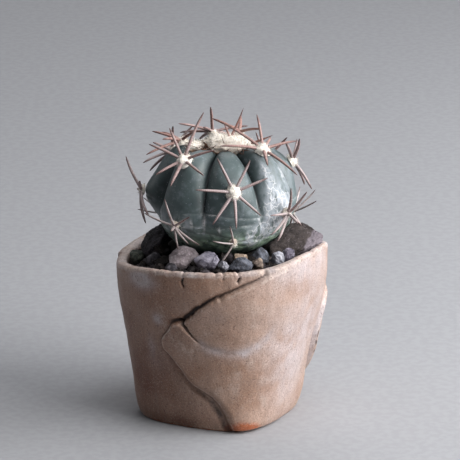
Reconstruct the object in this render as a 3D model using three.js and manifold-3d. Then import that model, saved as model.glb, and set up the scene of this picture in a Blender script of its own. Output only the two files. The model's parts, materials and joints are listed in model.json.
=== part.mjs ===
// Potted round cactus: an eight-ribbed stem with woolly areoles and stout spines, standing in a
// hand-built slab pot under a top dressing of crushed stone. Millimetres, +Z up, base on Z = 0.
// A bearing is measured round the pot in degrees: 0 is the front (-Y), 90 the right (+X).

import * as THREE from 'three';
import { ConvexGeometry } from 'three/addons/geometries/ConvexGeometry.js';
import { mergeVertices } from 'three/addons/utils/BufferGeometryUtils.js';
import Module from 'manifold-3d';

const wasm = await Module();
wasm.setup();

const DEG = Math.PI / 180;
const GOLDEN_ANGLE = 137.508; // spreads points evenly round a middle
const GAP = 0.3; // clearance kept between touching pieces
const OPEN_GAP = 1.3 * GAP; // clearance where faces meet at a slant
const CENTRE_SHIFT = [-0.1, 0.8]; // moves the plant so that the middle of its box is the origin

// Pot
const POT_RADIUS = [ // [height, mean outer radius]
  [0, 35.8], [1, 36.6], [2.5, 37.2], [5, 38], [12, 39.3], [20, 40.5], [34, 43.5],
  [48, 46.3], [58, 48.2], [66, 49.3], [80, 50],
];
const POT_TURN = 18; // bearing of the front corner of the rounded square section
const POT_SQUARENESS_FOOT = 0.055;
const POT_SQUARENESS_RIM = 0.015;
const POT_LEAN = 1.7; // the foot stands this far to the left of the rim
const POT_LEAN_TOP = 50; // height at which the lean has gone
const POT_WALL = 5;
const RIM_WALL = [ // [bearing, thickness of the wall at the rim, without the slabs]
  [-120, 4.4], [-85, 5.2], [-60, 5], [-35, 4], [0, 3.6], [25, 3.4], [38, 2.6], [60, 2.6],
  [80, 3.6], [110, 3.6], [150, 3.6], [180, 3.6],
];
const WALL_THINS = 0.66; // share of the wall's height above which it thins towards the rim
const POT_FLOOR = 7;
const FLOOR_CORNER = [[0, 12], [1.5, 8.5], [4, POT_FLOOR]]; // [inset from the wall, height] inside
const WALL_FOOT = [0, 1, 2.5, 5]; // heights of the rings that round the foot outside
const POT_HEIGHT = 80;
const RIM_HEIGHT = [ // [bearing, height of the rim]
  [-150, 79], [-130, 76.6], [-110, 75.2], [-85, 75], [-65, 77.2], [-40, 80], [0, 82], [25, 83],
  [47, 85.5], [60, 85.5], [78, 84.6], [90, 82.4], [112, 78.5], [145, 77.4], [180, 78.5],
];
const RIM_ROUNDING = 2.5;
const RIM_SECTION = [[0.14, 0.8], [0.38, 0]]; // [inset as a share of the thickness, drop below the rim]
const DRAIN_RADIUS = 6;
const ROOM_FLARE = 6; // the room for the filling widens this far past the wall above the rim
const ROOM_TOP = 120;
const POT_SIDES = 44;

// Slabs folded over the pot's wall, as [bearing, height] along their lower and upper edges
const FRONT_SLAB = {
  low: [[-39, 43.5], [-38.1, 40.4], [-34.2, 37.3], [-30, 33.8], [-26, 30], [-22.3, 25.6],
    [-18, 22.9], [-11.5, 20.6], [-5, 17.4], [-0.5, 13.8], [4, 9], [6.8, 4], [9, 0.5], [80, 0.5]],
  high: [[-39, 45.5], [-34.7, 50.2], [-29.7, 54.9], [-25.8, 56.4], [-23, 56.4], [-21.4, 57.9],
    [-15, 62.5], [-7.7, 67.4], [0, 71], [7.1, 73.8], [15.4, 76.7], [24.7, 80.4], [31, 82], [36.6, 83]],
  footLift: 2,
  rimLift: 3.5,
  full: 10,
  gone: 80,
};
const EAR_SLAB = {
  low: [[84, 38], [86, 32], [88, 28], [98, 18], [112, 9], [122, 2], [126, 0.5], [205, 0.5]],
  high: [[84, 42], [85, 47], [88, 52], [95, 57], [104, 59], [118, 64], [142, 75], [155, 81]],
  footLift: 2,
  rimLift: 2.2,
  full: 150,
  gone: 205,
};
const BACK_SLAB = {
  low: [[-240, 0.5], [-176, 0.5], [-168, 8], [-156, 20], [-140, 36], [-124, 50], [-110, 64],
    [-100, 72]],
  high: [],
  footLift: 1.6,
  rimLift: 1.8,
  full: -150,
  gone: -240,
};
const NOTCH = {
  from: [-25.5, 55.8], to: [-13.4, 46.4], width: 2, depth: 1.5, runOut: 2, narrowing: 1.1, reach: 8,
};
const SLAB_STEP = 5.5; // degrees between the columns of a slab
const SLAB_ROWS = 6;
const SLAB_TUCK = 0.8; // the far end of a slab sinks this far into the wall
const SLAB_ROOT = 1.4; // depth of a slab's hidden face in the wall
const SLAB_BELOW_RIM = 0.5;
const LIFT_CLIMB = [50, 85]; // heights between which a slab goes from its foot to its rim lift

// Soil and gravel
const GRAVEL_FOOT = 83.5; // height of the gravel where it meets the stem
const GRAVEL_FOOT_RADIUS = 24;
const GRAVEL_EDGE_RADIUS = 45;
const GRAVEL_EDGE = [ // [bearing, height of the gravel at the pot's wall]
  [-150, 73], [-115, 70], [-80, 69.5], [-50, 73], [-20, 77], [20, 78.5], [60, 80.5],
  [85, 79], [112, 75.5], [150, 74.5], [180, 74.5],
];
const GRAVEL_DEPTH = 6;
const BED_RADII = [8, 16, GRAVEL_FOOT_RADIUS, 31, 38];
const BED_WALL_OVERLAP = 1.5; // the bed is drawn this far into the wall and cut back to the gap
const BED_BELOW_TOP = 1.6; // fine gravel lies this far below the stones' tops
const SOIL_BLOCK_RADIUS = 52;
const SMALL_STONES = 52;
const SMALL_STONE_CORNERS = 8;
const BED_SIDES = 28;
const SMALL_STONE_SIZE = [3, 4.6];
const SMALL_STONE_RING = [25, 43.5]; // distances from the middle between which they lie
const SMALL_STONE_SINK = [-0.6, 0.8]; // height of their middles over the gravel
const SMALL_STONE_SHIFT = 12; // most degrees that one is moved round
const GRAVEL_SEED = 4711;

// Corners of the two rocks, the one that leans on the rim at the right and the one at the left
const RIGHT_ROCK = [
  [32.7, -6, 93], [36.5, -5, 93.3], [40.2, -6, 92.4], [43.3, -10, 91], [47.3, -12, 89.1], [47.2, -13.4, 86.6],
  [45.4, -13, 85.9], [37.5, -18.5, 84.3], [23.5, -17, 86.2], [22.5, -20, 82.5], [33, -19, 79.5],
  [43, -12, 80.5], [44, -3, 82], [30, -2, 80], [32, 0, 90.5], [38, 1, 91], [45.5, -4, 87.5], [40, 2, 84],
];
const LEFT_ROCK = [
  [-28.4, 8, 89.4], [-31, 2, 88], [-35.3, 8, 84.8], [-38.5, 3, 79.5], [-34, -4, 80], [-29, -6, 84.5],
  [-27.5, -3, 87], [-30, 14, 84], [-37, 12, 79], [-30, 12, 76], [-28, -4, 76], [-36, -3, 75.5],
  [-26.3, 7, 87], [-25.6, 2, 84],
];

// Stones that lie one by one: middle, half sizes and turn about the vertical
const STONES = [
  { at: [35.5, -9, 86], half: [12, 9.5, 7], turn: 0, rock: RIGHT_ROCK },
  { at: [-18.8, -27.7, 83], half: [8.2, 5.8, 6], turn: 20, seed: 23 },
  { at: [-6.4, -34, 83], half: [6.2, 5, 5.2], turn: -10, seed: 37 },
  { at: [0.9, -39, 82.5], half: [2.8, 2.5, 2.6], turn: 40, seed: 41 },
  { at: [8.9, -38, 83.2], half: [5.6, 4.2, 3.9], turn: 15, seed: 59 },
  { at: [17.7, -27, 84], half: [4.9, 4, 3.7], turn: -6, seed: 61 },
  { at: [26.3, -29, 82.6], half: [3, 2.9, 3.5], turn: 30, seed: 73 },
  { at: [31, -24.2, 82.8], half: [3, 2.9, 3.7], turn: 70, seed: 89 },
  { at: [16.6, -36.2, 81.8], half: [3.4, 2.8, 2.6], turn: 50, seed: 97 },
  { at: [-23.4, -34, 79.7], half: [3.2, 2.6, 2.4], turn: 0, seed: 101 },
  { at: [-40.5, -2, 75.6], half: [3.6, 3.8, 3.4], turn: 35, seed: 113 },
  { at: [-32.5, -11.5, 76.6], half: [4.6, 4, 3.8], turn: 60, seed: 127 },
  { at: [-31.5, 4, 82], half: [5, 7, 6], turn: 0, rock: LEFT_ROCK },
  { at: [-21, 29, 79.5], half: [6, 4.6, 4.6], turn: -30, seed: 149 },
  { at: [-3, 33.5, 79], half: [5.2, 5.6, 5], turn: 65, seed: 151 },
  { at: [14, 31.5, 79.5], half: [5.6, 4.6, 4.6], turn: 25, seed: 167 },
  { at: [27, 24, 80], half: [5, 5.4, 5], turn: -50, seed: 179 },
  { at: [36.5, 10.5, 80.5], half: [4.6, 5, 4.4], turn: 80, seed: 191 },
  { at: [8.5, -31, 83.2], half: [4.2, 2.9, 2.7], turn: 8, seed: 211 },
];
const STONE_CORNERS = 13; // of a stone that lies by itself
const STONE_CORNER_REACH = [0.82, 1.1]; // distance of a corner as a share of the half size
const STONE_CORNER_SHIFT = 0.9;
const STONE_SWELL = 1.9 * GAP; // growth of a stone's space, so that slanted faces keep the gap

// Stem: a star-shaped body about its middle, from the sunken crown down to the taproot
const STEM_MIDDLE = new THREE.Vector3(0, 0, 105);
const STEM_CREST = [ // [angle down from the top, distance from the middle to the rib crest]
  [0, 22], [18, 25.8], [30.5, 29.6], [41, 32.1], [53, 33.9], [65, 34.7], [78.5, 35.2],
  [90, 35.5], [100, 35.3], [109.5, 34.5], [119, 33.1], [129, 31.6], [140.5, 29.8], [153, 28.6],
  [163, 30.4], [168.7, 35.7], [173.7, 45.3], [177.4, 55.1], [180, 59],
];
const GROOVE_DEPTH = [ // [angle down from the top, groove depth as a share of the distance]
  [0, 0], [15, 0.06], [28, 0.12], [42, 0.155], [70, 0.15], [83, 0.11], [93, 0.055], [105, 0.02],
  [120, 0],
];
const GROOVE_SHARPNESS = 3;
const FLANK_HOLLOW = [ // [angle down from the top, how far the left flank has shrunk]
  [45, 0], [62, 1], [75, 1.6], [90, 2.2], [97, 3], [104, 4.4], [110, 4], [118, 3], [130, 1.5], [142, 0],
];
const FLANK_BEARING = -92;
const FLANK_WIDTH = 30; // degrees
const RIB_BEARINGS = { A: -86, B: -40, C: 9, D: 57, E: 104, F: 147, G: 190, H: 231 };
const STEPS_PER_RIB = 6;
const STEM_RINGS = [
  6, 14, 22, 30, 37, 44, 51, 58, 65, 72, 80, 88, 96, 104, 112, 120, 129, 140, 153, 163, 169,
  174, 177.5,
];
const SWELLING = 1.2; // the crest swells under each areole
const SWELLINGS = { A1: 3.1 }; // where the crest swells more
const SWELLING_RADIUS = 7;

// Areoles: one on every third rib, each lower than the last
const LATTICE = 'DGBEHCFA';
const LATTICE_START = 41.5; // angle down from the top of the first areole
const LATTICE_STEP = 6;
const LATTICE_FIRST = -2;
const LATTICE_LAST = 14;
const PAD_RADIUS = 3.5;
const PAD_HEIGHT = 3.2;
const PAD_SIDES = 7;
const PAD_LONG = 1.08; // the pad is a little longer than wide
const PAD_WIDE = 0.95;
const PAD_PROFILE = [[0.92, 0], [1, 0.35], [0.66, 0.86]]; // [share of the radius, share of the height]
const SPINE_ROOT = 1.4; // height of the spines' roots in the pad
const SPINE_RADIUS = 0.95;
const SPINE_TAPER = 0.7;
const SPINE_HOOK = 0.15; // share of its length that a spine curves down
const MOST_LIFT = 70;
const SPINE_BREAKS = [0, 0.35, 0.7]; // places along a spine where it bends and narrows
const SPINE_CLEARANCE = 2.1; // between the centre lines of spines of two areoles
const STEM_CLEARANCE = 1;
const GRAVEL_CLEARANCE = 1;
const TURN_STEP = 6;
const TURN_TRIES = 24;
const SPINE_PROBES = 12; // places along a spine where its clearance is tried
const SPINE_MARKS = 16; // places along a spine that others keep clear of

// Areoles that are moved a little from the lattice: [degrees down, degrees round]
const NUDGE = {
  B1: [-3.5, 0], E1: [5.5, -3], H1: [0, -7], C2: [-9.5, 0], B2: [-3, 4], D2: [3, -3.5],
  E2: [0, 7],
};

// Spines by hand: [clock angle, 0 towards the crown, lift from the surface, length, hook]
const SPINES = {
  C1: [[-24, 14, 18.5], [29, 18, 17.5], [70, 16, 18], [134, 12, 17], [180, 14, 18],
    [-143, 12, 19], [-85, 20, 20]],
  B1: [[6, 30, 26, 0.12], [-47, 42, 19], [-95, 38, 20], [-160, 26, 17], [165, 15, 18],
    [110, 10, 18], [60, 14, 17]],
  D1: [[-17, 18, 19.5], [15, 53, 19], [72, 12, 14], [120, 28, 19], [-175, 8, 23], [-132, 12, 17],
    [-52, 4, 22]],
  E1: [[-40, 38, 17], [68, 40, 15], [-34, 12, 17], [118, 20, 10], [-165, 11, 17], [160, 6, 17]],
  A1: [[-12, 38, 19], [-106, 22, 7], [138, 4, 18, 0.22], [116, 6, 19, 0.3], [60, 16, 16]],
  G1: [[8, 40, 17], [60, 13, 21], [30, 4, 13], [115, 18, 17], [165, 14, 18], [-140, 16, 17],
    [-85, 14, 18]],
  H1: [[18, 14, 17], [62, 12, 18], [110, 16, 17], [160, 22, 17], [-150, 24, 18], [-95, 18, 17],
    [-40, 12, 16]],
  B2: [[-2, 20, 17], [-72, 15, 17], [108, 20, 18], [101, 38, 18], [62, 60, 13], [55, 16, 15],
    [170, 18, 12]],
  C2: [[-6, 10, 14], [-62, 22, 13], [-150, 30, 13], [-162, 26, 13]],
  D2: [[-18, 25, 17], [10, 43, 17], [-79, 13, 17], [-94, 60, 16], [-112, 17, 18],
    [126, 6, 16], [-122, 24, 19]],
  A0: [[148, 8, 21], [-122, 17, 17], [127, 30, 17], [48, 33, 15], [-165, 34, 16]],
  F0: [[-2, 36, 14], [-80, 24, 16], [150, 20, 18], [80, 28, 16]],
};
const COMMON_SPINES = 7; // spines of an areole that has none listed
const COMMON_LENGTH = [15.5, 19];
const COMMON_LIFT = [12, 30];
const COMMON_SEED = 977;

// Crown wool
const LOW_AREOLE = 85; // areoles further down than this reach the stones
const HIGH_AREOLE = 60; // areoles further up than this reach the crown wool
const WOOL_RADIUS = 14.5;
const WOOL_SQUASH = 0.42;
const WOOL_CENTRE = new THREE.Vector3(1.8, -1.2, 129.4);
const WOOL_RINGS = [100, 80, 55, 28]; // angles down from the top
const WOOL_SIDES = 16;
const WOOL_FOOT = -4; // the wool's underside, below its centre
const WOOL_SPINE_ROOT = 2; // height of the crown spines' roots over the wool's centre
const WOOL_SPINES = [ // [root x, y], [tip x, y, z]
  { root: [4.5, -1], tip: [0.6, -2, 142.4] },
  { root: [12, -4], tip: [24, -8.5, 137.4] },
  { root: [3.3, 2.5], tip: [10.2, 4, 147.4] },
];

function throughKnots(knots, x) {
  // smooth curve through [x, y] knots, level past both ends
  const last = knots.length - 1;
  if (x <= knots[0][0]) return knots[0][1];
  if (x >= knots[last][0]) return knots[last][1];
  let i = 0;
  while (x > knots[i + 1][0]) i += 1;
  const slope = (j) => {
    const before = knots[Math.max(j - 1, 0)];
    const after = knots[Math.min(j + 1, last)];
    return (after[1] - before[1]) / (after[0] - before[0]);
  };
  const [x0, y0] = knots[i];
  const [x1, y1] = knots[i + 1];
  const h = x1 - x0;
  const t = (x - x0) / h;
  const rise = t * t * (3 - 2 * t);
  const leave = t * (1 - t) * (1 - t) * h;
  const arrive = t * t * (t - 1) * h;
  return y0 + (y1 - y0) * rise + slope(i) * leave + slope(i + 1) * arrive;
}

function alongLine(knots, x) {
  // straight lines between [x, y] knots
  let i = 0;
  while (i < knots.length - 2 && x > knots[i + 1][0]) i += 1;
  const t = (x - knots[i][0]) / (knots[i + 1][0] - knots[i][0]);
  return knots[i][1] + (knots[i + 1][1] - knots[i][1]) * Math.min(Math.max(t, 0), 1);
}

function wrapped(bearing) {
  // the same bearing between -180 and 180
  return bearing - 360 * Math.round(bearing / 360);
}

function roundTheClock(knots) {
  // repeats [bearing, value] knots on both sides so that the curve closes
  const shifted = (turn) => knots.map(([bearing, value]) => [bearing + turn, value]);
  return [...shifted(-360), ...knots, ...shifted(360)];
}

function easeStep(from, to, x) {
  // 0 up to `from`, 1 past `to`, smooth between them
  const t = Math.min(Math.max((x - from) / (to - from), 0), 1);
  return t * t * (3 - 2 * t);
}

function drawer(seed) {
  // repeatable random numbers from 0 to 1
  let state = seed;
  return () => {
    state = (state * 16807) % 2147483647;
    return state / 2147483647;
  };
}

function between([low, high], share) {
  return low + (high - low) * share;
}

// Solids

function solidOf(geometry) {
  const bare = geometry.clone();
  bare.deleteAttribute('normal');
  bare.deleteAttribute('uv');
  const merged = mergeVertices(bare, 1e-4);
  return new wasm.Manifold(new wasm.Mesh({
    numProp: 3,
    vertProperties: new Float32Array(merged.attributes.position.array),
    triVerts: new Uint32Array(merged.index.array),
  }));
}

function geometryOf(solid) {
  const mesh = solid.getMesh();
  const geometry = new THREE.BufferGeometry();
  geometry.setAttribute('position', new THREE.BufferAttribute(mesh.vertProperties, 3));
  geometry.setIndex(new THREE.BufferAttribute(mesh.triVerts, 1));
  return geometry;
}

function largestPiece(solid) {
  const pieces = solid.decompose();
  return pieces.reduce((best, piece) => (piece.volume() > best.volume() ? piece : best));
}

function closedGeometry(points, triangles) {
  // indexed geometry, turned so that its faces point out
  const volume = triangles.reduce((sum, [a, b, c]) => (
    sum + points[a].dot(new THREE.Vector3().crossVectors(points[b], points[c]))), 0);
  const outward = volume > 0 ? triangles : triangles.map(([a, b, c]) => [a, c, b]);
  const geometry = new THREE.BufferGeometry();
  const flat = points.flatMap((point) => [point.x, point.y, point.z]);
  geometry.setAttribute('position', new THREE.Float32BufferAttribute(flat, 3));
  geometry.setIndex(outward.flat());
  return geometry;
}

function ringLoft(rings, start, end) {
  // skin over rings of points, with an end point that closes each end
  const sides = rings[0].length;
  const points = [...rings.flat(), start, end];
  const triangles = [];
  for (let k = 0; k < sides; k += 1) {
    const next = (k + 1) % sides;
    for (let i = 0; i < rings.length - 1; i += 1) {
      const low = i * sides;
      const high = low + sides;
      triangles.push([low + k, low + next, high + next], [low + k, high + next, high + k]);
    }
    const top = (rings.length - 1) * sides;
    triangles.push([points.length - 2, next, k]);
    triangles.push([points.length - 1, top + k, top + next]);
  }
  return closedGeometry(points, triangles);
}

function ringTorus(rings) {
  // skin over rings of points whose last ring joins the first
  const sides = rings[0].length;
  const triangles = [];
  rings.forEach((ring, i) => {
    const low = i * sides;
    const high = ((i + 1) % rings.length) * sides;
    ring.forEach((point, k) => {
      const next = (k + 1) % sides;
      triangles.push([low + k, low + next, high + next], [low + k, high + next, high + k]);
    });
  });
  return closedGeometry(rings.flat(), triangles);
}

function wallPatch(columns, rows, near, far) {
  // closed slab between two grids of points, near(column, row) and far(column, row)
  const points = [];
  columns.forEach((column) => rows.forEach((row) => points.push(near(column, row))));
  columns.forEach((column) => rows.forEach((row) => points.push(far(column, row))));
  const tall = rows.length;
  const half = columns.length * tall;
  const triangles = [];
  const quad = (a, b, c, d) => triangles.push([a, b, c], [a, c, d]);
  for (let i = 0; i < columns.length - 1; i += 1) {
    for (let j = 0; j < tall - 1; j += 1) {
      const a = i * tall + j;
      quad(a, a + 1, a + tall + 1, a + tall);
      quad(half + a, half + a + tall, half + a + tall + 1, half + a + 1);
    }
    const foot = i * tall;
    const head = foot + tall - 1;
    quad(foot, foot + tall, half + foot + tall, half + foot);
    quad(head, half + head, half + head + tall, head + tall);
  }
  const lastColumn = (columns.length - 1) * tall;
  for (let j = 0; j < tall - 1; j += 1) {
    quad(j, half + j, half + j + 1, j + 1);
    quad(lastColumn + j, lastColumn + j + 1, half + lastColumn + j + 1, half + lastColumn + j);
  }
  return closedGeometry(points, triangles);
}

// Pot

const RIM_ROUND = roundTheClock(RIM_HEIGHT);
const RIM_WALL_ROUND = roundTheClock(RIM_WALL);
const EDGE_ROUND = roundTheClock(GRAVEL_EDGE);

function rimHeight(bearing) {
  return throughKnots(RIM_ROUND, wrapped(bearing));
}

function potRadius(bearing, height) {
  const share = Math.min(Math.max(height / POT_HEIGHT, 0), 1);
  const squareness = between([POT_SQUARENESS_FOOT, POT_SQUARENESS_RIM], share);
  const corners = Math.cos(4 * (bearing - POT_TURN) * DEG);
  return throughKnots(POT_RADIUS, height) * (1 + squareness * corners);
}

function wallThickness(bearing, height) {
  const foot = WALL_FOOT[WALL_FOOT.length - 1];
  const climb = (height - foot) / (rimHeight(bearing) - RIM_ROUNDING - foot);
  const share = Math.min(Math.max((climb - WALL_THINS) / (1 - WALL_THINS), 0), 1);
  return between([POT_WALL, throughKnots(RIM_WALL_ROUND, wrapped(bearing))], share);
}

function potPoint(bearing, radius, height) {
  const lean = POT_LEAN * Math.max(1 - height / POT_LEAN_TOP, 0);
  return new THREE.Vector3(
    radius * Math.sin(bearing * DEG) - lean,
    -radius * Math.cos(bearing * DEG),
    height,
  );
}

function bearings(sides) {
  return Array.from({ length: sides }, (_, k) => (360 * k) / sides);
}

function potRing(sides, radiusAndHeight) {
  return bearings(sides).map((bearing) => {
    const [radius, height] = radiusAndHeight(bearing);
    return potPoint(bearing, radius, height);
  });
}

function potWallRings() {
  const outer = (inset, height) => (bearing) => {
    const z = height(bearing);
    return [potRadius(bearing, z) - inset, z];
  };
  const across = (share, height) => (bearing) => {
    const z = height(bearing);
    return [potRadius(bearing, z) - share * wallThickness(bearing, z), z];
  };
  const level = (z) => () => z;
  const belowRim = (drop) => (bearing) => rimHeight(bearing) - drop;
  const foot = WALL_FOOT[WALL_FOOT.length - 1];
  const upWall = (share) => (bearing) => (
    between([foot, rimHeight(bearing) - RIM_ROUNDING], share));
  const profile = [
    ...WALL_FOOT.map((z) => outer(0, level(z))),
    ...[0.2, 0.4, 0.6, 0.8, 1].map((share) => outer(0, upWall(share))),
    ...RIM_SECTION.map(([share, drop]) => across(share, belowRim(drop))),
    ...RIM_SECTION.slice().reverse().map(([share, drop]) => across(1 - share, belowRim(drop))),
    across(1, belowRim(RIM_ROUNDING)),
    ...[WALL_THINS, 0.33].map((share) => across(1, upWall(share))),
    ...FLOOR_CORNER.map(([inset, z]) => outer(POT_WALL + inset, level(z))),
  ];
  return profile.map((row) => potRing(POT_SIDES, row));
}

function slabLift(slab, bearing, height) {
  // how far a folded slab stands out of the wall, thick at its free edge and thin at its far end
  const climb = easeStep(...LIFT_CLIMB, height);
  const away = easeStep(slab.full, slab.gone, bearing);
  const fading = slab.gone < slab.full ? easeStep(-slab.full, -slab.gone, -bearing) : away;
  return between([slab.footLift, slab.rimLift], climb) * (1 - fading) - SLAB_TUCK * fading;
}

function slabPatch(slab) {
  const first = slab.low[0][0];
  const last = slab.low[slab.low.length - 1][0];
  const count = Math.round((last - first) / SLAB_STEP);
  const columns = Array.from({ length: count + 1 }, (_, i) => between([first, last], i / count));
  const rows = Array.from({ length: SLAB_ROWS + 1 }, (_, j) => j / SLAB_ROWS);
  const height = (bearing, share) => {
    const topOfSlab = slab.high.length && bearing < slab.high[slab.high.length - 1][0]
      ? alongLine(slab.high, bearing) : rimHeight(bearing) - SLAB_BELOW_RIM;
    return between([alongLine(slab.low, bearing), topOfSlab], share);
  };
  const near = (bearing, share) => {
    const z = height(bearing, share);
    return potPoint(bearing, potRadius(bearing, z) - SLAB_ROOT, z);
  };
  const far = (bearing, share) => {
    const z = height(bearing, share);
    return potPoint(bearing, potRadius(bearing, z) + slabLift(slab, bearing, z), z);
  };
  return wallPatch(columns, rows, near, far);
}

function notchPatch() {
  // the fold's open crevice, widest at the free edge
  const shares = [0, 0.25, 0.5, 0.75, 1];
  const place = (share, side) => {
    const wide = NOTCH.width * (NOTCH.narrowing - share);
    return [
      between([NOTCH.from[0], NOTCH.to[0]], share),
      between([NOTCH.from[1], NOTCH.to[1]], share) + (side - 0.5) * wide,
    ];
  };
  const reach = (offset) => (share, side) => {
    const [bearing, z] = place(share, side);
    return potPoint(bearing, potRadius(bearing, z) + offset(share), z);
  };
  const bottom = reach((share) => NOTCH.runOut * share - NOTCH.depth);
  return wallPatch(shares, [0, 1], bottom, reach(() => NOTCH.reach));
}

function drainHole() {
  const drill = new THREE.CylinderGeometry(DRAIN_RADIUS, DRAIN_RADIUS, 3 * POT_FLOOR, 20);
  drill.rotateX(Math.PI / 2);
  drill.translate(-POT_LEAN, 0, 0);
  return drill;
}

function buildPot() {
  const rings = potWallRings();
  const wall = ringLoft(rings, potPoint(0, 0, 0), potPoint(0, 0, POT_FLOOR));
  return [FRONT_SLAB, EAR_SLAB, BACK_SLAB]
    .reduce((pot, slab) => pot.add(solidOf(slabPatch(slab))), solidOf(wall))
    .subtract(solidOf(notchPatch()))
    .subtract(solidOf(drainHole()));
}

function cavity() {
  // the room inside the pot, widening above the rim
  const inside = (inset, height) => (bearing) => {
    const z = height(bearing);
    return [potRadius(bearing, z) - wallThickness(bearing, z) - GAP - inset, z];
  };
  const share = (part) => (bearing) => part * (rimHeight(bearing) - RIM_ROUNDING);
  const corner = FLOOR_CORNER.slice().reverse().map(([inset, z]) => inside(inset, () => z + GAP));
  const rim = (bearing) => potRadius(bearing, POT_HEIGHT);
  const rings = [
    ...corner, ...[0.33, WALL_THINS, 1].map((part) => inside(0, share(part))),
    inside(0, (bearing) => rimHeight(bearing) + GAP),
    (bearing) => [rim(bearing) - wallThickness(bearing, rimHeight(bearing)) / 2, rimHeight(bearing) + 1],
    (bearing) => [rim(bearing) + ROOM_FLARE, rimHeight(bearing) + 4],
    (bearing) => [rim(bearing) + ROOM_FLARE, ROOM_TOP],
  ].map((row) => potRing(POT_SIDES, row));
  return solidOf(ringLoft(rings, potPoint(0, 0, POT_FLOOR + GAP), potPoint(0, 0, ROOM_TOP)));
}

// Stem

const CRESTS = Object.values(RIB_BEARINGS);

function grooveShare(bearing) {
  // 0 on a rib's crest, 1 in the groove between two ribs
  const turned = bearing - 360 * Math.floor((bearing - CRESTS[0]) / 360);
  const i = CRESTS.findLastIndex((crest) => crest <= turned);
  const next = i + 1 < CRESTS.length ? CRESTS[i + 1] : CRESTS[0] + 360;
  return 1 - Math.abs((2 * (turned - CRESTS[i])) / (next - CRESTS[i]) - 1);
}

function sphereDirection(bearing, down) {
  return new THREE.Vector3(
    Math.sin(down * DEG) * Math.sin(bearing * DEG),
    -Math.sin(down * DEG) * Math.cos(bearing * DEG),
    Math.cos(down * DEG),
  );
}

function crestDistance(bearing, down) {
  // distance from the stem's middle to the surface without its grooves
  const aside = wrapped(bearing - FLANK_BEARING) / FLANK_WIDTH;
  return throughKnots(STEM_CREST, down) - throughKnots(FLANK_HOLLOW, down) * Math.exp(-aside * aside);
}

function onCrest(bearing, down, extra = 0) {
  const distance = crestDistance(bearing, down) + extra;
  return sphereDirection(bearing, down).multiplyScalar(distance).add(STEM_MIDDLE);
}

function areoleList() {
  // names and places of the areoles, from the crown down
  const list = [];
  for (let n = LATTICE_FIRST; n <= LATTICE_LAST; n += 1) {
    const rib = LATTICE[(n + 8) % 8];
    const name = `${rib}${Math.floor(n / 8) + 1}`;
    const [lower, round] = NUDGE[name] ?? [0, 0];
    list.push({
      name,
      bearing: RIB_BEARINGS[rib] + round,
      down: LATTICE_START + LATTICE_STEP * n + lower,
      swelling: SWELLINGS[name] ?? SWELLING,
    });
  }
  return list;
}

const AREOLES = areoleList();

function stemDistance(bearing, down) {
  // distance from the stem's middle to its surface
  const crest = crestDistance(bearing, down);
  const groove = throughKnots(GROOVE_DEPTH, down) * grooveShare(bearing) ** GROOVE_SHARPNESS;
  const here = sphereDirection(bearing, down).multiplyScalar(crest);
  const swelling = AREOLES.reduce((most, areole) => {
    const apart = onCrest(areole.bearing, areole.down).sub(STEM_MIDDLE).distanceTo(here);
    return Math.max(most, areole.swelling * Math.exp(-((apart / SWELLING_RADIUS) ** 2)));
  }, 0);
  return crest * (1 - groove) + swelling;
}

function stemGeometry(extra) {
  const around = CRESTS.flatMap((crest, i) => {
    const next = i + 1 < CRESTS.length ? CRESTS[i + 1] : CRESTS[0] + 360;
    return Array.from({ length: STEPS_PER_RIB }, (_, k) => between([crest, next], k / STEPS_PER_RIB));
  });
  const place = (bearing, down) => (
    sphereDirection(bearing, down).multiplyScalar(stemDistance(bearing, down) + extra).add(STEM_MIDDLE));
  const rings = STEM_RINGS.map((down) => around.map((bearing) => place(bearing, down)));
  return ringLoft(rings, place(0, 0), place(0, 180));
}

function clearOfStem(point, clearance) {
  const from = point.clone().sub(STEM_MIDDLE);
  const down = Math.acos(from.z / from.length()) / DEG;
  const bearing = Math.atan2(from.x, -from.y) / DEG;
  return from.length() - stemDistance(bearing, down) > clearance;
}

// Areoles and spines

function areoleFrame({ bearing, down, swelling }) {
  // seat on the crest, direction to the crown, direction to the right, direction outwards
  const seat = onCrest(bearing, down, swelling + GAP);
  const towards = onCrest(bearing, down - 0.5).sub(onCrest(bearing, down + 0.5)).normalize();
  const aside = new THREE.Vector3(Math.cos(bearing * DEG), Math.sin(bearing * DEG), 0);
  const out = new THREE.Vector3().crossVectors(aside, towards);
  return { seat, towards, aside, out };
}

function spineLine(frame, [clock, lift, length, hook = SPINE_HOOK]) {
  // centre line of one spine as a function of the share of its length
  const along = frame.towards.clone().multiplyScalar(Math.cos(clock * DEG))
    .addScaledVector(frame.aside, Math.sin(clock * DEG)).multiplyScalar(Math.cos(lift * DEG))
    .addScaledVector(frame.out, Math.sin(lift * DEG));
  const root = frame.seat.clone().addScaledVector(frame.out, SPINE_ROOT);
  return (share) => root.clone().addScaledVector(along, length * share)
    .addScaledVector(frame.out, -hook * length * share * share);
}

function gravelHeight(bearing, radius) {
  const share = (radius - GRAVEL_FOOT_RADIUS) / (GRAVEL_EDGE_RADIUS - GRAVEL_FOOT_RADIUS);
  const edge = throughKnots(EDGE_ROUND, wrapped(bearing));
  return between([GRAVEL_FOOT, edge], Math.min(Math.max(share, 0), 1));
}

function isClear(line, others) {
  // past its root, a spine keeps off the stem, the gravel and the spines of other areoles
  for (let k = 3; k <= SPINE_PROBES; k += 1) {
    const point = line(k / SPINE_PROBES);
    if (!clearOfStem(point, STEM_CLEARANCE)) return false;
    const bearing = Math.atan2(point.x, -point.y) / DEG;
    const ground = gravelHeight(bearing, Math.hypot(point.x, point.y));
    if (point.z < ground + GRAVEL_CLEARANCE) return false;
    if (others.some((other) => other.distanceTo(point) < SPINE_CLEARANCE)) return false;
  }
  return true;
}

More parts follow.
